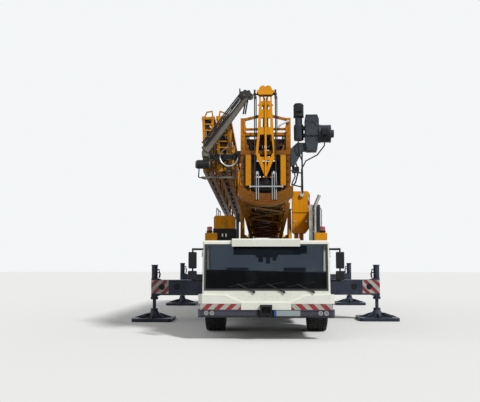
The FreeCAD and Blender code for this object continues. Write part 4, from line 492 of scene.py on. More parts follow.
# Inside the windscreen: the folded sun blind in black felt, which is deeper on the passenger's
# side, and the camera and sensor housings of matt plastic glued to the glass.
felt = coated("black_felt_and_matt_plastic", ("020203", "08090A"), 1.0,
              (NOISE, {"Scale": 400.0, "Detail": 2.0}), bump_mm=0.3, Specular_IOR_Level=0.02)
BEHIND_GLASS = -0.05
BLIND_T, HOUSING_T = 0.012, 0.03
INSIDE_GLASS = [  # left, right, foot, top, thickness
    (-0.668, 0.70, 1.715, 1.90, BLIND_T), (0.70, 0.83, 1.74, 1.90, BLIND_T),
    (-0.21, 0.24, 1.66, 1.74, HOUSING_T), (-0.16, -0.06, 1.57, 1.66, HOUSING_T),
    (0.0, 0.08, 1.54, 1.66, HOUSING_T), (0.13, 0.21, 1.60, 1.66, HOUSING_T),
]
build = bmesh.new()
for x0, x1, z0, z1, thick in INSIDE_GLASS:
    screen_strip(build, x0, x1, z0, z1, BEHIND_GLASS, thick)
bmesh.ops.recalc_face_normals(build, faces=build.faces)
piece("sun_blind_and_cameras", build, felt, "carrier")

# Wipers: three black pantograph arms on spindles under the glass, with long blades.
WIPER_X = (-0.239, 0.362, 0.953)
WIPER_Z = screen_z0 - 0.03
BLADE_BACK = Vector((0, 0.012, 0))
build = bmesh.new()
for x in WIPER_X:
    hub = Vector((x, glass_low[1] - 0.02, WIPER_Z))
    tip = on_screen(x - 0.34, screen_z0 + 0.13, 0.022)
    rod(build, hub + Vector((0, 0.03, 0)), hub - Vector((0, 0.015, 0)), 0.022)
    rod(build, hub, tip, 0.013, 8)
    rod(build, hub + Vector((0.02, 0, -0.012)), tip + Vector((0.03, 0, -0.01)), 0.005, 8)
    outer = on_screen(x - 0.52, screen_z0 + 0.07, 0.006)
    inner = on_screen(x + 0.02, screen_z0 + 0.17, 0.006)
    rod(build, outer, inner, 0.007, 8)
    rod(build, outer.lerp(inner, 0.25) - BLADE_BACK, outer.lerp(inner, 0.75) - BLADE_BACK, 0.006, 8)
piece("windscreen_wipers", build, black_plastic, "carrier")

# Mirror glass: silvered float glass on the faces that look back at the doors, a tall flat pane
# over a low curved one.
mirror_glass = coated("silvered_mirror_glass", ["C8CCD0"], 0.04, Metallic=1.0)
MIRROR_MID_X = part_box("mirrors")[1][0] - 0.095
mirror_y = CAB_FRONT_Y + 0.025
build = bmesh.new()
for s in (-1, 1):
    for z0, z1 in ((1.465, 1.75), (1.235, 1.375)):
        block(build, (s * (MIRROR_MID_X - 0.058), mirror_y, z0),
              (s * (MIRROR_MID_X + 0.062), mirror_y + 0.0025, z1))
piece("mirror_glasses", build, mirror_glass, "carrier")


# Doors: rubber seals round the panes, paddle handles, grab rails of bent steel bar, and marker
# lamps on the cab's sides.
def chain(build, points, radius, sides=10):
    """A bent bar or hose through a list of points."""
    for start, end in zip(points, points[1:]):
        rod(build, start, end, radius, sides)
    for point in points[1:-1]:
        bmesh.ops.create_uvsphere(build, u_segments=sides, v_segments=6, radius=radius,
                                  matrix=Matrix.Translation(point))


PANE_LEAN = 0.08
for side, s in (("left", -1), ("right", 1)):
    rear_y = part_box("door_" + side)[1][1]
    (_, y0, z0), (_, y1, z1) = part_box("door_glass_" + side)
    face = s * CAB_HALF_W
    seal_x = face + s * 0.004
    door, seal, handle, marker, rail = "door_" + side, bmesh.new(), bmesh.new(), bmesh.new(), bmesh.new()
    corners = [(seal_x, y0, z0), (seal_x, y0 + PANE_LEAN, z1), (seal_x, y1, z1), (seal_x, y1, z0)]
    chain(seal, corners + corners[:2], 0.012, 8)
    block(handle, (face, rear_y - 0.30, 0.93), (face + s * 0.006, rear_y - 0.12, 1.01))
    block(handle, (face + s * 0.006, rear_y - 0.29, 0.95), (face + s * 0.032, rear_y - 0.13, 0.975))
    block(marker, (face, rear_y + 0.08, 1.56), (face + s * 0.02, rear_y + 0.17, 1.60))
    foot_x, grip_x, rail_y = face - s * 0.01, face + s * 0.045, rear_y + 0.055
    chain(rail, [(x, rail_y, z) for x, z in ((foot_x, 1.15), (grip_x, 1.15), (grip_x, 1.78), (foot_x, 1.78))],
          0.011)
    piece("door_seal_" + side, seal, black_plastic, door)
    piece("door_handle_" + side, handle, black_plastic, door)
    piece("side_marker_" + side, marker, amber_lens, "carrier")
    piece("grab_rail_" + side, rail, steel, "carrier")

# Bumper: grained grey plastic with two round lamps each side. The boards above it carry
# retro-reflective sheeting in red and white stripes that fall outwards from the middle.
bumper_plastic = enamel("bumper_grey_plastic", "3C3C48", "464652", "5E5A52", 0.5)
dress(bumper_plastic, "front_bumper")


def striped(name, pitch, pale, red, roughness, coat, grime_scale, held, grime_share):
    """Retro-reflective sheeting with slanted stripes that mirror about the middle, and grime."""
    made, tree, place = new_material(name)
    split = add_node(tree, "ShaderNodeSeparateXYZ", {"Vector": place})
    outward = add_node(tree, MATH, {0: split.outputs["X"]}, operation="ABSOLUTE")
    slant = add_node(tree, MATH, {0: outward.outputs["Value"], 1: split.outputs["Z"]}, operation="ADD")
    turns = add_node(tree, MATH, {0: slant.outputs["Value"], 1: pitch}, operation="DIVIDE")
    part_of = add_node(tree, MATH, {0: turns.outputs["Value"]}, operation="FRACT")
    is_red = add_node(tree, MATH, {0: part_of.outputs["Value"], 1: 0.5}, operation="GREATER_THAN")
    grime = texture(tree, place, NOISE, {"Scale": grime_scale, "Detail": 5.0})
    share = add_node(tree, MATH, {0: ramp(tree, grime, *held), 1: grime_share}, operation="MULTIPLY")
    stripes = mixed(tree, is_red.outputs["Value"], pale, red)
    inputs = {"Base Color": mixed(tree, share.outputs["Value"], stripes, "6E6A66"),
              "Roughness": roughness, "Coat Weight": coat}
    finish_material(tree, add_node(tree, "ShaderNodeBsdfPrincipled", inputs))
    return made


warning = striped("red_white_reflective_sheeting", 0.24, "A6A49C", "860C18", 0.35, 0.4, 12.0,
                  (0.5, 0.8), 0.4)
BOARD_X, BOARD_Z = (0.508, 1.325), (0.622, 0.737)
board_y = CAB_FRONT_Y - 0.030
build = bmesh.new()
for s in (-1, 1):
    block(build, (s * BOARD_X[0], board_y - 0.001, BOARD_Z[0]), (s * BOARD_X[1], board_y, BOARD_Z[1]))
piece("bumper_warning_stripes", build, warning, "carrier")

# Headlamps: fluted glass lenses, each held by a bright ring that is rolled from wire.
flutes = (WAVE, {"Scale": 28.0}, {"bands_direction": "X"})
lamp_glass = coated("clear_lamp_glass", ("4E5254", "8A8F90"), 0.12, flutes, bump_mm=1.0, Coat_Weight=0.6)
dress(lamp_glass, "headlamps")
lamp_low, lamp_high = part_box("headlamps")
BEZEL_R, LAMP_Z = 0.040, 0.555
build = bmesh.new()
for s in (-1, 1):
    for x in (lamp_high[0] - 0.045, lamp_high[0] - 0.16):
        ring = [(s * x + BEZEL_R * math.cos(a), lamp_low[1] + 0.001, LAMP_Z + BEZEL_R * math.sin(a))
                for a in angles(28)]
        chain(build, ring + ring[:1], 0.005, 6)
piece("lamp_bezels", build, steel, "carrier")

# Number plates: pressed aluminium, white, left blank, with the blue strip at one end, in a frame
# of black plastic. One is on the bumper and one on the tail plate.
white_sheet = coated("white_plate_sheeting", ["8E9A98"], 0.45)
blue_sheet = coated("blue_plate_sheeting", ["1E4FA0"], 0.4)
PLATE_HALF_L, PLATE_H, STRIP_L, RIM = 0.26, 0.11, 0.045, 0.008
PLATES = [(0.42, CAB_FRONT_Y - 0.040, -1, 0.498), (0.0, tail_y, 1, 1.16)]  # x, face, way, foot
whites, blues, frames = bmesh.new(), bmesh.new(), bmesh.new()
for x, y, way, z in PLATES:
    left, right, top = x - PLATE_HALF_L, x + PLATE_HALF_L, z + PLATE_H
    strip = x + way * PLATE_HALF_L
    frame_y, plate_y = y + way * 0.004, y + way * 0.006
    block(frames, (left - RIM, y, z - RIM), (right + RIM, frame_y, top + RIM))
    block(whites, (left, frame_y, z), (right, plate_y, top))
    block(blues, (strip, plate_y, z), (strip - way * STRIP_L, y + way * 0.007, top))
piece("plate_frames", frames, black_plastic, "carrier")
piece("plate_blanks", whites, white_sheet, "carrier")
piece("plate_blue_strips", blues, blue_sheet, "carrier")

# Tow coupling: the hand lever of bright steel that lifts the pin in its jaw.
tow_low, tow_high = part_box("tow_coupling")
lever_y, lever_z = tow_low[1] + 0.05, tow_high[2] - 0.012
build = bmesh.new()
rod(build, (0.03, lever_y, lever_z), (0.105, lever_y, lever_z), 0.008, 10)
piece("tow_lever", build, steel, "carrier")

# Beacons: orange domes of moulded plastic on black rubber feet, whose rims are ribbed for grip.
# Their brackets are bent plate in crane yellow, the finish of the whole upper carriage.
# The dark tint 3A2208 darkens its corners: painted shade.
crane_enamel = enamel("crane_yellow_enamel", "DC8E00", "DE960A", "7A5010", 0.4, dirt=0.6, shade_tint="3A2208")
dress(crane_enamel, "beacon_brackets", "slew_platform", "ballast_block", "side_block", "mast_cradle",
      "top_strut")
beacon_glass = coated("orange_beacon_plastic", ["A83420"], 0.2, Coat_Weight=0.5)
dress(beacon_glass, "beacons")
beacon_low, beacon_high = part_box("beacons")
FOOT_R, FOOT_H = 0.066, 0.052
build = bmesh.new()
for s in (-1, 1):
    x, y, z = s * (beacon_high[0] - 0.062), (beacon_low[1] + beacon_high[1]) / 2, beacon_low[2]
    rod(build, (x, y, z), (x, y, z + FOOT_H), FOOT_R, 24)
    for a in angles(8):
        rib_x, rib_y = x + 0.068 * math.cos(a), y + 0.068 * math.sin(a)
        rod(build, (rib_x, rib_y, z + 0.01), (rib_x, rib_y, z + 0.05), 0.004, 6)
piece("beacon_feet", build, black_plastic, "carrier")

# Outriggers: each beam is a welded box with a striped plate and two rubber plugs, flush with its
# front face so that the beam slides home, a lashing hook and two hydraulic hoses to the jack. The
# plate's sheeting is riveted on.
hose_rubber = enamel("black_hydraulic_hose", "101012", "1C1C1E", "38342E", 0.6)
out_sheet = striped("outrigger_stripe_sheeting", 0.25, "B0B0AC", "84101C", 0.4, 0.0, 9.0,
                    (0.45, 0.8), 0.5)
STRIPE_END, STRIPE_LEN = 0.04, 0.46
STRIPE_Z = (0.715, 1.065)
PLUG_R, PLUG_Z = 0.08, 0.89
HOOK_Z = (0.70, 0.57)
JACK_HOSE_GAP = 0.05
for name in ("front_left", "front_right", "rear_left", "rear_right"):
    beam = "beam_" + name
    low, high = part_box(beam)
    s = -1 if name.endswith("left") else 1
    way = -1 if name.startswith("front") else 1
    end_x = low[0] if s < 0 else high[0]
    face_y = low[1] if way < 0 else high[1]
    mid_y = (low[1] + high[1]) / 2
    sheet_y, hook_y = face_y + way * 0.002, face_y + way * 0.02
    plate, plugs, hook, hoses = bmesh.new(), bmesh.new(), bmesh.new(), bmesh.new()
    block(plate, (end_x - s * STRIPE_END, face_y, STRIPE_Z[0]),
          (end_x - s * (STRIPE_END + STRIPE_LEN), sheet_y, STRIPE_Z[1]))
    for inset in (0.32, 0.72):
        x = end_x - s * inset
        rod(plugs, (x, face_y - way * 0.01, PLUG_Z), (x, face_y + way * 0.005, PLUG_Z), PLUG_R, 28)
    left, right = end_x - s * 0.12 - 0.035, end_x - s * 0.12 + 0.035
    chain(hook, [(left, hook_y, HOOK_Z[0]), (left, hook_y, HOOK_Z[1]), (right, hook_y, HOOK_Z[1]),
                 (right, hook_y, HOOK_Z[0])], 0.012, 8)
    for y, top in ((mid_y - JACK_HOSE_GAP, 1.33), (mid_y + JACK_HOSE_GAP, 1.25)):
        bends = ((0.17, top), (0.225, top + 0.02), (0.245, 1.22), (0.225, 1.12))
        chain(hoses, [(end_x - s * inset, y, z) for inset, z in bends], 0.014, 8)
    rivets = [((end_x - s * inset, sheet_y, z), (0, way, 0))
              for inset in (0.06, 0.48) for z in (0.735, 1.045)]
    piece("stripe_plate_" + name, plate, out_sheet, beam)
    piece("beam_plugs_" + name, plugs, black_plastic, beam)
    piece("lashing_hook_" + name, hook, slate_enamel, beam)
    piece("jack_hoses_" + name, hoses, hose_rubber, beam)
    copies("stripe_rivets_" + name, hex_bolt(0.016, 0.003), rivets, steel, beam)

# Walkways of the slewing platform: ribbed rubber matting, worn and grey with dust, laid on the
# sheet beside and between the machines.
ribs = (WAVE, {"Scale": 16.0}, {"bands_direction": "Y"})
matting = coated("ribbed_rubber_matting", ("2A2B2E", "55524C"), 0.8, (NOISE, {"Scale": 3.0, "Detail": 6.0}),
                 (0.4, 0.75), ribs, 2.0)
platform_low, platform_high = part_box("slew_platform")
WALK_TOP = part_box("control_cabinet")[0][2]
MATS = [  # left, right, front and rear
    (-1.30, -0.72, -1.15, 0.40), (0.72, 1.30, -1.15, 0.40), (-0.98, -0.72, 0.45, 3.35),
    (0.72, 0.98, 0.45, 3.35), (-0.40, 0.40, -2.20, -0.75),
]
mats = bmesh.new()
for x0, x1, y0, y1 in MATS:
    block(mats, (x0, y0, WALK_TOP), (x1, y1, WALK_TOP + 0.006))
piece("walkway_mats", mats, matting, "platform")

# Handrails with a knee rail in galvanised pipe on the platform, a stand pipe in machine grey at
# its front, bolts along its rim, and ladders to the deck in galvanised pipe on both sides.
galvanised = coated("galvanised_steel_tube", ("9A9C9A", "BEBFBC"), 0.4,
                    ("ShaderNodeTexVoronoi", {"Scale": 90.0}), Metallic=0.8)
RAIL_X, RAIL_TOP, KNEE = 1.335, WALK_TOP + 0.95, WALK_TOP + 0.5
RAIL_POSTS = (-1.10, -0.35, 0.38)
rails = bmesh.new()
for s in (-1, 1):
    x, front, rear = s * RAIL_X, RAIL_POSTS[0], RAIL_POSTS[-1]
    for y in RAIL_POSTS:
        rod(rails, (x, y, WALK_TOP), (x, y, RAIL_TOP), 0.017, 10)
    for z in (KNEE, RAIL_TOP):
        rod(rails, (x, front, z), (x, rear, z), 0.015, 10)
    block(rails, (x - 0.03, front - 0.03, WALK_TOP), (x + 0.03, front + 0.03, WALK_TOP + 0.008))
chain(rails, [(1.36, -2.22, 2.06), (1.405, -2.25, 2.12), (1.405, -2.25, 2.88), (1.36, -2.22, 2.94)],
      0.016, 12)
piece("platform_handrails", rails, galvanised, "platform")
pipe = bmesh.new()
chain(pipe, [(-0.72, -2.24, 2.06), (-0.72, -2.24, 2.70), (-0.70, -2.10, 2.76)], 0.04, 14)
piece("platform_stand_pipe", pipe, machine_enamel, "platform")
RIM_BOLT_Z = 2.0
rim_bolts = [((s * platform_high[0], -2.10 + 0.20 * i, RIM_BOLT_Z), (s, 0, 0))
             for s in (-1, 1) for i in range(12)]
rim_bolts += [((-1.2 + 0.184 * i, platform_low[1], RIM_BOLT_Z), (0, -1, 0)) for i in range(14)]
copies("platform_rim_bolts", hex_bolt(0.024, 0.014), rim_bolts, steel, "platform")
LADDER_Y = (0.95, 1.27)
ladder = bmesh.new()
for s in (-1, 1):
    for y in LADDER_Y:
        chain(ladder, [(s * 1.20, y, 1.47), (s * 1.27, y, 1.40), (s * 1.27, y, 0.78)], 0.014, 8)
    for z in (0.80, 1.06, 1.32):
        block(ladder, (s * 1.255, LADDER_Y[0], z), (s * 1.295, LADDER_Y[1], z + 0.02))
piece("deck_ladders", ladder, galvanised, "carrier")

# Switch cabinet and ballast: two black doors with bright latches on the cabinet, and on the cast
# ballast a striped marker strip, two stay bolts and the end of its lifting pin.
(cabinet_x0, front, cabinet_z0), (cabinet_x1, _, cabinet_z1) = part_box("control_cabinet")
mid_x = (cabinet_x0 + cabinet_x1) / 2
doors, latches = bmesh.new(), bmesh.new()
for x0, x1 in ((cabinet_x0 + 0.02, mid_x - 0.005), (mid_x + 0.005, cabinet_x1 - 0.02)):
    block(doors, (x0, front - 0.006, cabinet_z0 + 0.08), (x1, front, cabinet_z1 - 0.08))
for x in (mid_x - 0.06, mid_x + 0.03):
    block(latches, (x, front - 0.02, 2.19), (x + 0.03, front - 0.005, 2.27))
piece("cabinet_doors", doors, black_plastic, "platform")
piece("cabinet_latches", latches, steel, "platform")
(ballast_x0, front, _), (ballast_x1, _, _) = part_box("ballast_block")
STAY_Z, PIN_X, PIN_Z = 2.60, 0.94, 3.295
strip, stays = bmesh.new(), bmesh.new()
block(strip, (ballast_x1 - 0.055, front + 0.066, 2.95), (ballast_x1 + 0.003, front + 0.070, 3.28))
for x in (ballast_x0 + 0.05, ballast_x1 - 0.1):
    rod(stays, (x, front + 0.045, STAY_Z), (x, front + 0.075, STAY_Z), 0.022, 6)
rod(stays, (PIN_X, front - 0.003, PIN_Z), (PIN_X, front + 0.012, PIN_Z), 0.057, 20)
piece("ballast_marker_strip", strip, out_sheet, "platform")
piece("ballast_stay_bolts", stays, steel, "platform")

# Exhaust: bent aluminised steel pipe, stained brown by heat, held to the generator set by two
# clamps.
heat_steel = coated("aluminised_exhaust_steel", ("B9B9B4", "8A8074"), 0.38,
                    (NOISE, {"Scale": 7.0, "Detail": 5.0}), (0.4, 0.8), bump_mm=0.3, Metallic=0.85)
dress(heat_steel, "exhaust")

# Mast: tubular lattice in crane yellow. Gusset plates stiffen its corners, the pivot pins have
# locking plates, a cable run is clamped to its left side and greased hoist ropes lie on the top.
LEAN_PER_M = 0.0606
# Painted shade: the mast's yellow is a darker copy of the crane yellow, darker still between the two heights
# and in its corners.
mast_enamel = enamel("mast_yellow_enamel", "C88100", "CE8E0C", "7A5010", 0.4, dirt=0.6, shade_tint="38210A",
                     shade_z=(2.66, 2.40), lean=LEAN_PER_M)
dress(mast_enamel, "outer_mast", "inner_mast")
MAST_LEAN = math.radians(3.47)
FOOT_Y, FOOT_Z = 1.3, 2.38
PIVOT = Vector((0.0, 3.2, 2.38))


def on_mast(x, y, z):
    """A place given on the level mast, from the slewing axis, as it lies when travelling."""
    dy, dz = y - FOOT_Y, z - FOOT_Z
    return Vector((x, PIVOT.y + dy * math.cos(MAST_LEAN) + dz * math.sin(MAST_LEAN),
                   PIVOT.z - dy * math.sin(MAST_LEAN) + dz * math.cos(MAST_LEAN)))


def mast_line(build, points, radius, sides=8):
    """A straight or bent bar, rope or hose through places on the mast."""
    chain(build, [on_mast(*point) for point in points], radius, sides)


def mast_block(build, low, high):
    """A block between two places on the mast."""
    block(build, on_mast(*low), on_mast(*high))


def across(build, y, z, x0, x1, radius, sides=28):
    """A round part that lies across the mast."""
    mast_line(build, [(x0, y, z), (x1, y, z)], radius, sides)


def lengthwise(build, x, z, y0, y1, radius, sides=24):
    """A round part that lies along the mast."""
    mast_line(build, [(x, y0, z), (x, y1, z)], radius, sides)


GUSSET_X, GUSSET_L, GUSSET_T = 0.502, 0.16, 0.008
build = bmesh.new()
for s in (-1, 1):
    for y in (-7.26, -5.0, -2.8, -0.6, 1.3):
        for z0, z1 in ((2.265, 2.40), (3.015, 2.88)):
            corners = [on_mast(s * GUSSET_X, *p) for p in ((y, z0), (y + GUSSET_L, z0), (y, z1))]
            verts = [build.verts.new(c + Vector((s * t, 0, 0))) for t in (0.0, GUSSET_T) for c in corners]
            for face in ((0, 1, 2), (5, 4, 3), (0, 3, 4, 1), (1, 4, 5, 2), (2, 5, 3, 0)):
                build.faces.new([verts[i] for i in face])
bmesh.ops.recalc_face_normals(build, faces=build.faces)
piece("mast_gussets", build, crane_enamel, "mast")
build = bmesh.new()
for s in (-1, 1):
    across(build, FOOT_Y, FOOT_Z, s * 0.582, s * 0.596, 0.075, 24)
    across(build, FOOT_Y, FOOT_Z, s * 0.594, s * 0.606, 0.03, 24)
piece("pivot_lock_plates", build, steel, "mast")
build = bmesh.new()
for up, x in ((-0.03, -0.529), (0.0, -0.52), (0.03, -0.529)):
    mast_line(build, [(x, y, 2.62 + up) for y in (-7.2, -4.2, -1.2, 1.0)], 0.013)
piece("mast_cable_run", build, hose_rubber, "mast")
wire_rope = coated("greased_steel_wire_rope", ("101010", "2C2A28"), 0.5,
                   (WAVE, {"Scale": 60.0}, {"bands_direction": "DIAGONAL"}), bump_mm=1.0, Metallic=0.4)
build = bmesh.new()
for x in (-0.21, -0.07, 0.07, 0.21):
    lengthwise(build, x, 3.02, -7.2, 1.2, 0.008, 8)
piece("mast_hoist_ropes", build, wire_rope, "mast")

# Mast head: welded plate with rolled rims, in a darker copy of the crane yellow that darkens further
# low down, all painted shade. In front of it the hoist ropes hang from two narrow sheaves, each on a
# stub shaft.
shaded_head_enamel = enamel("shaded_crane_yellow_enamel", "BE7000", "C47C06", "5A3A10", 0.42, dirt=0.9,
                       shade_tint="40260A", shade_z=(4.25, 3.70))
dress(shaded_head_enamel, "mast_head")
HEAD_Y = -7.97
SHEAVE_X, SHEAVE_Z = (-0.218, 0.200), 4.40
ropes, sheaves = bmesh.new(), bmesh.new()
for x in SHEAVE_X:
    back_x, sheave_y = x + 0.03, HEAD_Y - 0.01
    mast_line(ropes, [(x, HEAD_Y - 0.11, SHEAVE_Z), (x, HEAD_Y - 0.06, 2.43)], 0.013)
    mast_line(ropes, [(back_x, HEAD_Y - 0.02, 4.36), (back_x, HEAD_Y + 0.10, 2.60)], 0.010)
    across(sheaves, sheave_y, SHEAVE_Z, x - 0.018, x + 0.018, 0.098)
    across(sheaves, sheave_y, SHEAVE_Z, x - 0.03, x + 0.03, 0.025, 14)
    across(sheaves, sheave_y, SHEAVE_Z, x, x * 0.5, 0.016, 10)
piece("head_ropes", ropes, wire_rope, "inner_mast")
piece("head_sheaves", sheaves, black_plastic, "inner_mast")

# Tension rods: hard-chromed bars with round eyes and a cross shaft, in front of the head. Beside
# them are a pale vent pipe of plastic and three rolled rims on the round pan.
chrome = coated("hard_chromed_rod", ["B4B6B8"], 0.2, Metallic=1.0)
dress(chrome, "cylinder_rods")
SHAFT_Y, SHAFT_Z, SHAFT_ENDS = HEAD_Y - 0.065, 2.50, (-0.31, 0.33)
build = bmesh.new()
for x in (-0.187, -0.143, 0.128, 0.172, 0.206):
    mast_line(build, [(x, HEAD_Y - 0.075, 2.78), (x, HEAD_Y - 0.05, 2.24)], 0.009, 12)
for x in (-0.165, 0.165):
    mast_line(build, [(x, HEAD_Y - 0.074, 2.80), (x, HEAD_Y - 0.072, 2.74)], 0.026, 14)
across(build, SHAFT_Y, SHAFT_Z, *SHAFT_ENDS, 0.016, 14)
for x in SHAFT_ENDS:
    across(build, SHAFT_Y, SHAFT_Z, x - 0.012, x + 0.012, 0.034, 18)
piece("tension_rods", build, chrome, "inner_mast")
pale_pipe = coated("pale_plastic_conduit", ["D6D4CA"], 0.5)
build = bmesh.new()
mast_line(build, [(0.25, HEAD_Y - 0.03, 3.70), (0.30, HEAD_Y - 0.05, 3.755), (0.455, HEAD_Y - 0.05, 3.83),
                  (0.48, HEAD_Y + 0.04, 3.83)], 0.019, 12)
piece("head_conduit", build, pale_pipe, "inner_mast")
PAN_Z, PAN_HALF_W = 3.0, 0.53
pan_turns = [math.radians(-32 + 64 * i / 24) for i in range(25)]
build = bmesh.new()
for r in (0.845, 0.800, 0.745):
    arc = [on_mast(r * math.sin(a), HEAD_Y - 0.026, PAN_Z - r * math.cos(a)) for a in pan_turns]
    inside = [point for point in arc if abs(point.x) < PAN_HALF_W]
    for start, end in zip(inside, inside[1:]):
        rod(build, start, end, 0.006, 6)
# The rims take the head's darker yellow, which is painted shade.
piece("pan_rim_rolls", build, shaded_head_enamel, "inner_mast")

# Inside the head: two rope drums with cast cheeks, one wound with rope, and bundles of rubber
# cable. A junction box hangs on the right, and cable sheaves fill the space above the drums.
DRUMS = [(-7.58, 2.94, 0.15), (-7.60, 2.62, 0.13)]  # y, z, radius
drums, cheeks = bmesh.new(), bmesh.new()
for y, z, r in DRUMS:
    across(drums, y, z, -0.25, 0.25, r)
    for x in (-0.262, 0.262):
        across(cheeks, y, z, x - 0.012, x + 0.012, r + 0.045)
wound_y, wound_z, wound_r = DRUMS[0]
for i in range(15):
    x = -0.24 + 0.034 * i
    across(drums, wound_y, wound_z, x, x + 0.017, wound_r + 0.008, 24)
piece("rope_drum_winding", drums, wire_rope, "inner_mast")
piece("rope_drum_cheeks", cheeks, machine_enamel, "inner_mast")
CABLE_R = 0.017
HEAD_CABLES = [  # radius, then the places that each one runs through
    (CABLE_R, [(-0.33, -7.85, 3.50), (-0.30, -7.90, 3.30), (-0.20, -7.86, 3.12), (0.05, -7.88, 3.06),
               (0.24, -7.84, 3.18), (0.31, -7.86, 3.46)]),
    (CABLE_R, [(-0.30, -7.88, 3.40), (-0.22, -7.90, 3.20), (0.0, -7.90, 3.13), (0.21, -7.88, 3.24),
               (0.28, -7.86, 3.50)]),
    (CABLE_R, [(-0.26, -7.90, 3.06), (-0.27, -7.92, 2.80), (-0.16, -7.94, 2.56), (0.10, -7.94, 2.50),
               (0.25, -7.92, 2.66), (0.26, -7.90, 3.02)]),
    (CABLE_R, [(-0.12, -7.88, 3.08), (-0.13, -7.93, 2.80), (-0.02, -7.95, 2.60), (0.12, -7.93, 2.78),
               (0.10, -7.88, 3.10)]),
    (CABLE_R, [(0.05, -7.86, 3.55), (0.12, -7.90, 3.36), (0.10, -7.90, 3.12)]),
    (CABLE_R, [(-0.06, -7.86, 3.55), (-0.15, -7.90, 3.34), (-0.12, -7.90, 3.12)]),
    (0.015, [(0.47, -7.86, 3.12), (0.60, -7.86, 3.02), (0.66, -7.80, 2.86), (0.60, -7.78, 2.62),
             (0.50, -7.80, 2.50)]),
    (0.013, [(0.49, -7.84, 2.98), (0.57, -7.84, 2.90), (0.59, -7.80, 2.74), (0.52, -7.78, 2.58)]),
]
HEAD_CABLES += [(0.012, [(x, -7.86, 3.60), (x * 0.98, -7.86, 2.50)]) for x in (-0.37, -0.34, 0.34, 0.37)]
HEAD_CABLES += [(0.022, [(x, HEAD_Y + 0.13, 3.28), (x * 0.6, HEAD_Y + 0.10, 4.36)]) for x in (-0.045, 0.045)]
build = bmesh.new()
for radius, points in HEAD_CABLES:
    mast_line(build, points, radius)
mast_block(build, (0.53, -7.86, 2.80), (0.67, -7.80, 2.93))
for x, y, z, r in ((-0.20, -7.50, 3.40, 0.15), (0.20, -7.50, 3.40, 0.15), (0.0, -7.46, 3.56, 0.10)):
    across(build, y, z, x - 0.13, x + 0.13, r, 24)
piece("head_cable_bundles", build, hose_rubber, "inner_mast")

# Head frame: bolts down both side plates and on the cross member, two pillars of square tube
# behind the ropes, thin black strips beside the pillars that paint the shade between them and the
# plate, and a braced frame of bars at the rear.
SIDE_BOLTS_Z = (2.62, 2.76, 2.90, 3.04, 3.30, 3.42, 3.54, 3.66, 3.78)
head_bolts = [(on_mast(s * 0.455, HEAD_Y, z), (0, -1, 0)) for s in (-1, 1) for z in SIDE_BOLTS_Z]
head_bolts += [(on_mast(x, HEAD_Y - 0.06, 4.16), (0, -1, 0)) for x in (-0.14, -0.05, 0.05, 0.14)]
# The bolts take the head's darker yellow, which is painted shade.
copies("head_bolts", hex_bolt(0.022, 0.012), head_bolts, shaded_head_enamel, "inner_mast")
PILLAR_X, PILLAR_TOP = (0.292, 0.402), 3.12
# Thin black bars beside each pillar paint the shade there.
pillars, shade_strips = bmesh.new(), bmesh.new()
for s in (-1, 1):
    x0, x1 = s * PILLAR_X[0], s * PILLAR_X[1]
    mast_block(pillars, (x0, HEAD_Y - 0.035, 2.52), (x1, HEAD_Y + 0.01, PILLAR_TOP))
    across(pillars, HEAD_Y - 0.004, PILLAR_TOP, x0, x1, 0.031, 20)
    for x in (s * 0.284, s * 0.411):
        mast_block(shade_strips, (x - 0.006, HEAD_Y - 0.008, 2.50), (x + 0.006, HEAD_Y + 0.01, 3.14))
bmesh.ops.bevel(pillars, geom=pillars.edges[:], offset=0.006, segments=2, affect="EDGES")
piece("head_pillars", pillars, mast_enamel, "inner_mast")
piece("head_pillar_grooves", shade_strips, black_plastic, "inner_mast")
build = bmesh.new()
mast_block(build, (-0.43, -7.70, 3.44), (0.43, -7.65, 3.54))
for s in (-1, 1):
    mast_block(build, (s * 0.37, -7.70, 3.20), (s * 0.43, -7.65, 3.54))
    mast_line(build, [(s * 0.40, -7.675, 3.22), (s * 0.03, -7.675, 3.46)], 0.024, 10)
# The rear frame takes the head's darker yellow, which is painted shade.
piece("head_rear_frame", build, shaded_head_enamel, "inner_mast")

# Slewing winch: a cast gearbox with a bolted cover between two electric motors. The motors'
# housings are ribbed aluminium in machine grey, with black terminal boxes and a fan cowl.
MOTOR_X, MOTOR_Y, SIDE_MOTOR_Z = 0.667, -7.92, 3.587
UPRIGHT_FINS = [(10, 3.952, 0.021, 0.103), (12, 3.478, 0.022, 0.101)]  # count, foot, pitch, radius
fins, boxes = bmesh.new(), bmesh.new()
for count, foot, pitch, radius in UPRIGHT_FINS:
    for z in [foot + pitch * i for i in range(count)]:
        mast_line(fins, [(MOTOR_X, MOTOR_Y, z), (MOTOR_X, MOTOR_Y, z + 0.007)], radius, 32)
for x in [1.105 + 0.018 * i for i in range(9)]:
    across(fins, MOTOR_Y, SIDE_MOTOR_Z, x, x + 0.006, 0.180, 36)
mast_block(boxes, (0.60, -8.06, 4.02), (0.735, -8.00, 4.13))
mast_block(boxes, (1.12, -8.16, 3.52), (1.24, -8.08, 3.64))
across(boxes, MOTOR_Y, SIDE_MOTOR_Z, 1.298, 1.304, 0.168, 32)
for z in (3.93, 4.165):
    mast_line(boxes, [(MOTOR_X, MOTOR_Y, z), (MOTOR_X, MOTOR_Y, z + 0.012)], 0.106, 28)
piece("motor_fins", fins, machine_enamel, "inner_mast")
piece("motor_boxes", boxes, black_plastic, "inner_mast")
COVER_BOLTS = [(0.815, 3.535), (0.905, 3.535), (0.995, 3.535), (1.04, 3.535), (0.815, 3.93),
               (0.905, 3.93), (0.995, 3.93)]
COVER_BOLTS += [(x, z) for z in (3.62, 3.72, 3.82) for x in (0.812, 1.042)]
FLANGE_BOLTS = [(0.83, 3.28), (1.0, 3.28), (0.83, 3.44), (1.02, 3.44)]
gear_bolts = [(on_mast(x, -8.072, z), (0, -1, 0)) for x, z in COVER_BOLTS]
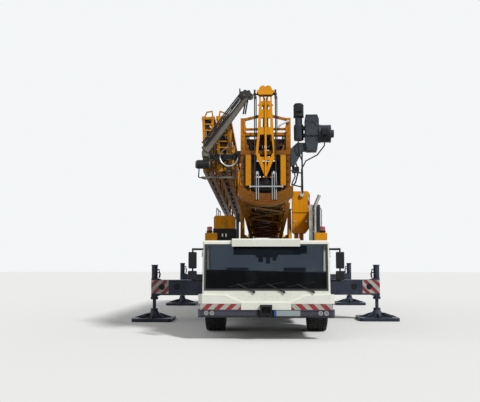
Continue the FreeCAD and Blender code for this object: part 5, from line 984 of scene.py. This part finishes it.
gear_bolts += [(on_mast(x, -8.05, z), (0, -1, 0)) for x, z in FLANGE_BOLTS]
copies("gearbox_bolts", hex_bolt(0.022, 0.014), gear_bolts, machine_enamel, "inner_mast")
build = bmesh.new()
mast_line(build, [(0.667, -8.03, 3.48), (0.64, -8.07, 3.34), (0.66, -8.02, 3.18), (0.73, -7.94, 3.02),
                  (0.735, -7.94, 2.40)], 0.013)
mast_line(build, [(1.18, -8.10, 3.52), (1.16, -8.12, 3.30), (1.02, -8.08, 3.12), (0.80, -7.98, 3.02),
                  (0.715, -7.94, 2.86), (0.712, -7.94, 2.42)], 0.013)
piece("gearbox_cables", build, hose_rubber, "inner_mast")

# Guy strut: a welded box strut in weathered grey-beige primer. Hoist ropes lie in its sheaves
# and run down its upper edge, and a bent electric cable hangs from the top.
strut_primer = enamel("weathered_strut_primer", "5E5A52", "7C766A", "3C3831", 0.55)
dress(strut_primer, "guy_strut")
GUY_Y = -8.04
build = bmesh.new()
for out in (0.055, 0.022, -0.012, -0.046):
    shift, lift = -0.8 * out, 0.6 * out
    mast_line(build, [(shift - 0.47, GUY_Y - 0.075, lift + 4.34), (shift - 1.22, GUY_Y - 0.105, lift + 3.33)],
              0.014)
for x, z in ((-0.47, 4.40), (-0.41, 4.43), (-0.34, 4.42)):
    lengthwise(build, x, z, GUY_Y - 0.04, GUY_Y + 0.04, 0.042, 16)
for x, z in ((-0.452, 4.308), (-0.380, 4.345), (-0.305, 4.338)):
    lengthwise(build, x, z, GUY_Y - 0.062, GUY_Y - 0.052, 0.034, 16)
mast_line(build, [(-0.51, GUY_Y - 0.02, 4.28), (-0.52, GUY_Y - 0.02, 4.50)], 0.014)
for x in (-0.38, -0.34):
    mast_line(build, [(x, GUY_Y, 4.38), (x - 0.07, GUY_Y + 0.02, 3.98)], 0.016)
mast_line(build, [(-0.500, GUY_Y - 0.03, 4.44), (-0.53, GUY_Y - 0.05, 4.32), (-0.56, GUY_Y - 0.08, 4.22),
                  (-0.69, GUY_Y - 0.09, 4.06)], 0.012)
piece("guy_strut_ropes", build, wire_rope, "jib_root")
build = bmesh.new()
mast_line(build, [(-1.10, GUY_Y - 0.10, 3.20), (-0.98, GUY_Y - 0.11, 3.02), (-0.80, GUY_Y + 0.16, 2.92),
                  (-0.66, GUY_Y + 0.26, 2.86)], 0.014)
mast_line(build, [(-1.33, GUY_Y + 0.02, 2.86), (-1.34, GUY_Y + 0.04, 2.70), (-1.2, GUY_Y + 0.2, 2.68)],
          0.012)
piece("guy_strut_hoses", build, hose_rubber, "jib_root")

# Damper of the strut: a black sleeve with two end caps, and its black mounting bar with three
# clips. The ring hose beside the head is a loop of galvanised corrugated tube.
DAMPER_Y, DAMPER_Z = GUY_Y + 0.04, 2.957
build = bmesh.new()
across(build, DAMPER_Y, DAMPER_Z, -1.372, -1.128, 0.0895, 32)
for x in (-1.402, -1.104):
    across(build, DAMPER_Y, DAMPER_Z, x, x + 0.006, 0.07)
mast_block(build, (-1.13, -7.748, 3.12), (-0.55, -7.742, 3.21))
for x in (-1.02, -0.86, -0.66):
    mast_block(build, (x, -7.80, 3.10), (x + 0.06, -7.74, 3.235))
piece("damper_sleeve", build, black_plastic, "jib_root")
RING_X, RING_Z, RING_R = -0.745, 3.145, 0.185
ring_turns = [math.radians(-8 - 172 * i / 16) for i in range(17)]
build = bmesh.new()
mast_line(build, [(RING_X + RING_R * math.cos(a), -7.80, RING_Z + RING_R * math.sin(a)) for a in ring_turns],
          0.019, 10)
piece("ring_hose", build, galvanised, "jib_root")

# Jib: welded tubular lattice in a darker copy of the crane yellow that darkens further low down,
# all painted shade. The sections carry climbing rungs at their front ends, trolley ropes with bent
# guides on them, eight more ropes stacked up each side that form a dark net of painted shade, and
# the rungs and braces of a catwalk.
# Painted shade: a darker copy of the crane yellow, darker still below the given heights.
jib_enamel = enamel("jib_yellow_enamel", "BC7804", "C68408", "6A4410", 0.4, dirt=0.8, shade_tint="38210A",
                    shade_z=(3.75, 3.10), lean=LEAN_PER_M)
dress(jib_enamel, "jib_root", "jib_mid", "jib_tip")
RUNG_ROWS = [  # piece, body, and in each row: count, y, foot, left, right, radius
    ("jib_middle_rungs", "jib_mid", [(7, -7.59, 3.00, -0.98, -0.77, 0.014),
                                     (7, -5.0, 3.05, -0.985, -0.765, 0.012)]),
    ("jib_outer_rungs", "jib_tip", [(8, -7.57, 2.98, -1.29, -1.09, 0.014)]),
]
for name, body, rows in RUNG_ROWS:
    build = bmesh.new()
    for count, y, foot, x0, x1, radius in rows:
        for i in range(count):
            across(build, y, foot + 0.13 * i, x0, x1, radius, 8)
    piece(name, build, crane_enamel, body)
SECTIONS = [  # body, left, right, and the bends of its rope guides
    ("jib_mid", -1.0, -0.75, [(-0.98, 4.05), (-0.95, 4.19), (-0.81, 4.13), (-0.77, 4.04)]),
    ("jib_tip", -1.30, -1.09, [(-1.28, 4.05), (-1.23, 4.17), (-1.12, 4.19), (-1.10, 4.05)]),
]
for body, x0, x1, bends in SECTIONS:
    ropes, walk, guides = bmesh.new(), bmesh.new(), bmesh.new()
    for x in (x0 + 0.06, x1 - 0.06):
        lengthwise(ropes, x, 4.02, -7.5, 1.4, 0.007, 8)
        # Eight more ropes stacked up each side: a dark net that paints the shade seen through the lattice.
        for i in range(8):
            lengthwise(ropes, x, 3.03 + 0.125 * i, -7.52, 1.2, 0.010, 6)
    for i in range(58):
        across(walk, -7.42 + 0.15 * i, 2.915, x0 + 0.03, x1 - 0.03, 0.009, 6)
    ends = (x1 - 0.04, x0 + 0.04)
    for y in (-7.25, -6.7, -6.1, -5.4, -4.6):
        zigzag = [(ends[i % 2], y, 2.97 + 0.145 * i) for i in range(8)]
        for start, end in zip(zigzag, zigzag[1:]):
            mast_line(walk, [start, end], 0.013)
    for y in (-7.50, -7.05):
        mast_line(guides, [(x, y, z) for x, z in bends], 0.015)
    piece(body + "_trolley_ropes", ropes, wire_rope, body)
    piece(body + "_catwalk_rungs", walk, jib_enamel, body)
    piece(body + "_rope_guides", guides, jib_enamel, body)

# Ends of the folded jib: the trolley with its rollers, shafts and hoist rope in the middle
# section, rope sheaves in the outer one, all greasy black, and end plates welded on the chords.
trolley, tip = bmesh.new(), bmesh.new()
for x, z, r in ((-0.95, 3.86, 0.085), (-0.80, 3.86, 0.085), (-0.88, 3.52, 0.11), (-0.84, 3.20, 0.08)):
    lengthwise(trolley, x, z, -7.56, -7.50, r)
    lengthwise(trolley, x, z, -7.58, -7.48, 0.025, 12)
for x in (-0.93, -0.80):
    mast_line(trolley, [(x, -7.53, 3.14), (x, -7.53, 3.92)], 0.016)
mast_line(trolley, [(-0.98, -7.55, 3.95), (-0.93, -7.60, 3.70), (-0.80, -7.60, 3.56), (-0.77, -7.55, 3.30)],
          0.014)
mast_block(trolley, (-0.96, -7.50, 3.28), (-0.80, -7.32, 3.46))
for x, z, r in ((-1.22, 3.94, 0.08), (-1.14, 3.60, 0.10), (-1.26, 3.30, 0.07)):
    lengthwise(tip, x, z, -7.52, -7.47, r)
mast_line(tip, [(-1.28, -7.54, 3.98), (-1.20, -7.56, 3.78), (-1.10, -7.54, 3.62), (-1.12, -7.52, 3.20)],
          0.013)
ROLLERS = [  # the part it belongs to, x, y, z, radius
    (trolley, -0.90, -7.30, 3.70, 0.09), (trolley, -0.85, -7.20, 3.35, 0.10),
    (trolley, -0.90, -7.0, 3.05, 0.08), (trolley, -0.82, -6.8, 3.88, 0.09),
    (tip, -1.20, -7.30, 3.75, 0.08), (tip, -1.18, -7.20, 3.42, 0.09), (tip, -1.20, -7.0, 3.12, 0.08),
]
for build, x, y, z, r in ROLLERS:
    across(build, y, z, x - 0.05, x + 0.05, r, 20)
piece("folded_trolley", trolley, black_plastic, "jib_mid")
piece("jib_end_sheaves", tip, black_plastic, "jib_tip")
build = bmesh.new()
for x0, x1, z0, z1 in ((-0.99, -0.90, 3.90, 4.06), (-0.86, -0.76, 3.92, 4.06),
                       (-0.99, -0.86, 2.89, 3.04), (-0.88, -0.76, 2.89, 3.00)):
    mast_block(build, (x0, -7.600, z0), (x1, -7.594, z1))
piece("jib_end_gussets", build, crane_enamel, "jib_mid")

# Hoist winch in the inner mast's front bay: two rope drums between cast flanges. Under them runs
# a loom of nineteen dark brown cables side by side that sags a little between its ties; it stands
# for the cables there and paints the shade on the mast's underside.
WINCH_DRUMS = [(-6.75, 2.62, 0.20), (-6.20, 2.58, 0.16)]  # y, z, radius
winch, flanges = bmesh.new(), bmesh.new()
for y, z, r in WINCH_DRUMS:
    across(winch, y, z, -0.30, 0.30, r, 32)
    for x in [-0.29 + 0.049 * i for i in range(12)]:
        across(winch, y, z, x, x + 0.026, r + 0.008)
    for x in (-0.32, 0.305):
        across(flanges, y, z, x, x + 0.015, r + 0.05, 32)
piece("mast_winch_rope", winch, wire_rope, "inner_mast")
piece("mast_winch_flanges", flanges, machine_enamel, "inner_mast")
shade_loom = coated("brown_cable_loom_painted_shade", ("1E1510", "3A2A1C"), 0.8,
                 (NOISE, {"Scale": 14.0, "Detail": 5.0}), (0.4, 0.7), bump_mm=0.5, Specular_IOR_Level=0.1)
build = bmesh.new()
# Nineteen dark lines side by side: painted shade on the mast's underside.
for i in range(19):
    x, sag = -0.333 + 0.037 * i, 0.012 * (i % 3)
    mast_line(build, [(x, -7.25, 2.36), (x * 0.99, -6.6, 2.325 - sag), (x * 0.98, -5.4, 2.32),
                      (x * 0.97, -3.6, 2.325 + sag / 2), (x * 0.97, 0.8, 2.325)], 0.0175)
piece("mast_hose_bundle", build, shade_loom, "inner_mast")

# Fold pin: the bright head of the steel pin that the jib's root turns on.
build = bmesh.new()
mast_line(build, [(-0.60, 1.89, 3.88), (-0.60, 1.89, 3.91)], 0.045, 18)
piece("fold_pin_head", build, steel, "jib_root")

# Floor, sky and lamps: a pale studio floor, a white sky behind and two sun lamps.
PHOTO_FRONT_TO_CAMERA = 13.8
CAMERA_HEIGHT = 1.66
CAMERA_PITCH = math.radians(4.744)
CAMERA_YAW = math.radians(2.176)
camera_data = bpy.data.cameras.new("camera")
camera_data.lens = 51.15
camera_data.sensor_width = 36.0
camera = bpy.data.objects.new("camera", camera_data)
camera.location = (0.0, CAB_FRONT_Y - PHOTO_FRONT_TO_CAMERA, CAMERA_HEIGHT)
camera.rotation_euler = (math.pi / 2 + CAMERA_PITCH, 0.0, CAMERA_YAW)
bpy.context.collection.objects.link(camera)
bpy.context.scene.camera = camera

floor_mesh = bpy.data.meshes.new("floor")
build = bmesh.new()
bmesh.ops.create_grid(build, x_segments=1, y_segments=1, size=60.0)
build.to_mesh(floor_mesh)
build.free()
floor = bpy.data.objects.new("floor", floor_mesh)
bpy.context.collection.objects.link(floor)
floor.location.z = -0.001


def seen_by_camera(tree):
    """1 for what the camera sees, straight or in metal and glass, and 0 for bounced light."""
    path = add_node(tree, "ShaderNodeLightPath")
    seen = path.outputs["Is Camera Ray"]
    for ray in ("Is Glossy Ray", "Is Transmission Ray"):
        seen = add_node(tree, MATH, {0: seen, 1: path.outputs[ray]}, operation="MAXIMUM").outputs["Value"]
    return seen


pale, tree, place = new_material("pale_floor")
floor_tone = mixed(tree, seen_by_camera(tree), "7C7C7A", "E4E4E2")
diffuse = add_node(tree, "ShaderNodeBsdfDiffuse", {"Color": floor_tone})
add_node(tree, "ShaderNodeOutputMaterial", {"Surface": diffuse.outputs["BSDF"]})
floor_mesh.materials.append(pale)

world = bpy.data.worlds.new("studio")
bpy.context.scene.world = world
world.use_nodes = True
tree = world.node_tree
tree.nodes.clear()
strength = add_node(tree, "ShaderNodeMapRange", {"Value": seen_by_camera(tree), "To Min": 0.42,
                                                 "To Max": 1.0})
sky = add_node(tree, "ShaderNodeBackground", {"Color": linear("F4F6F8"),
                                              "Strength": strength.outputs["Result"]})
add_node(tree, "ShaderNodeOutputWorld", {"Surface": sky.outputs["Background"]})

LAMPS = [  # name, rotation in degrees, strength, softness in degrees
    ("key", (48, 0, 40), 2.9, 8),
    ("fill", (60, 0, -60), 0.5, 60),
]
for name, turn, power, softness in LAMPS:
    lamp_data = bpy.data.lights.new(name, "SUN")
    lamp_data.energy = power
    lamp_data.angle = math.radians(softness)
    lamp = bpy.data.objects.new(name, lamp_data)
    lamp.rotation_euler = [math.radians(a) for a in turn]
    bpy.context.collection.objects.link(lamp)

bpy.context.scene.view_settings.view_transform = "Standard"
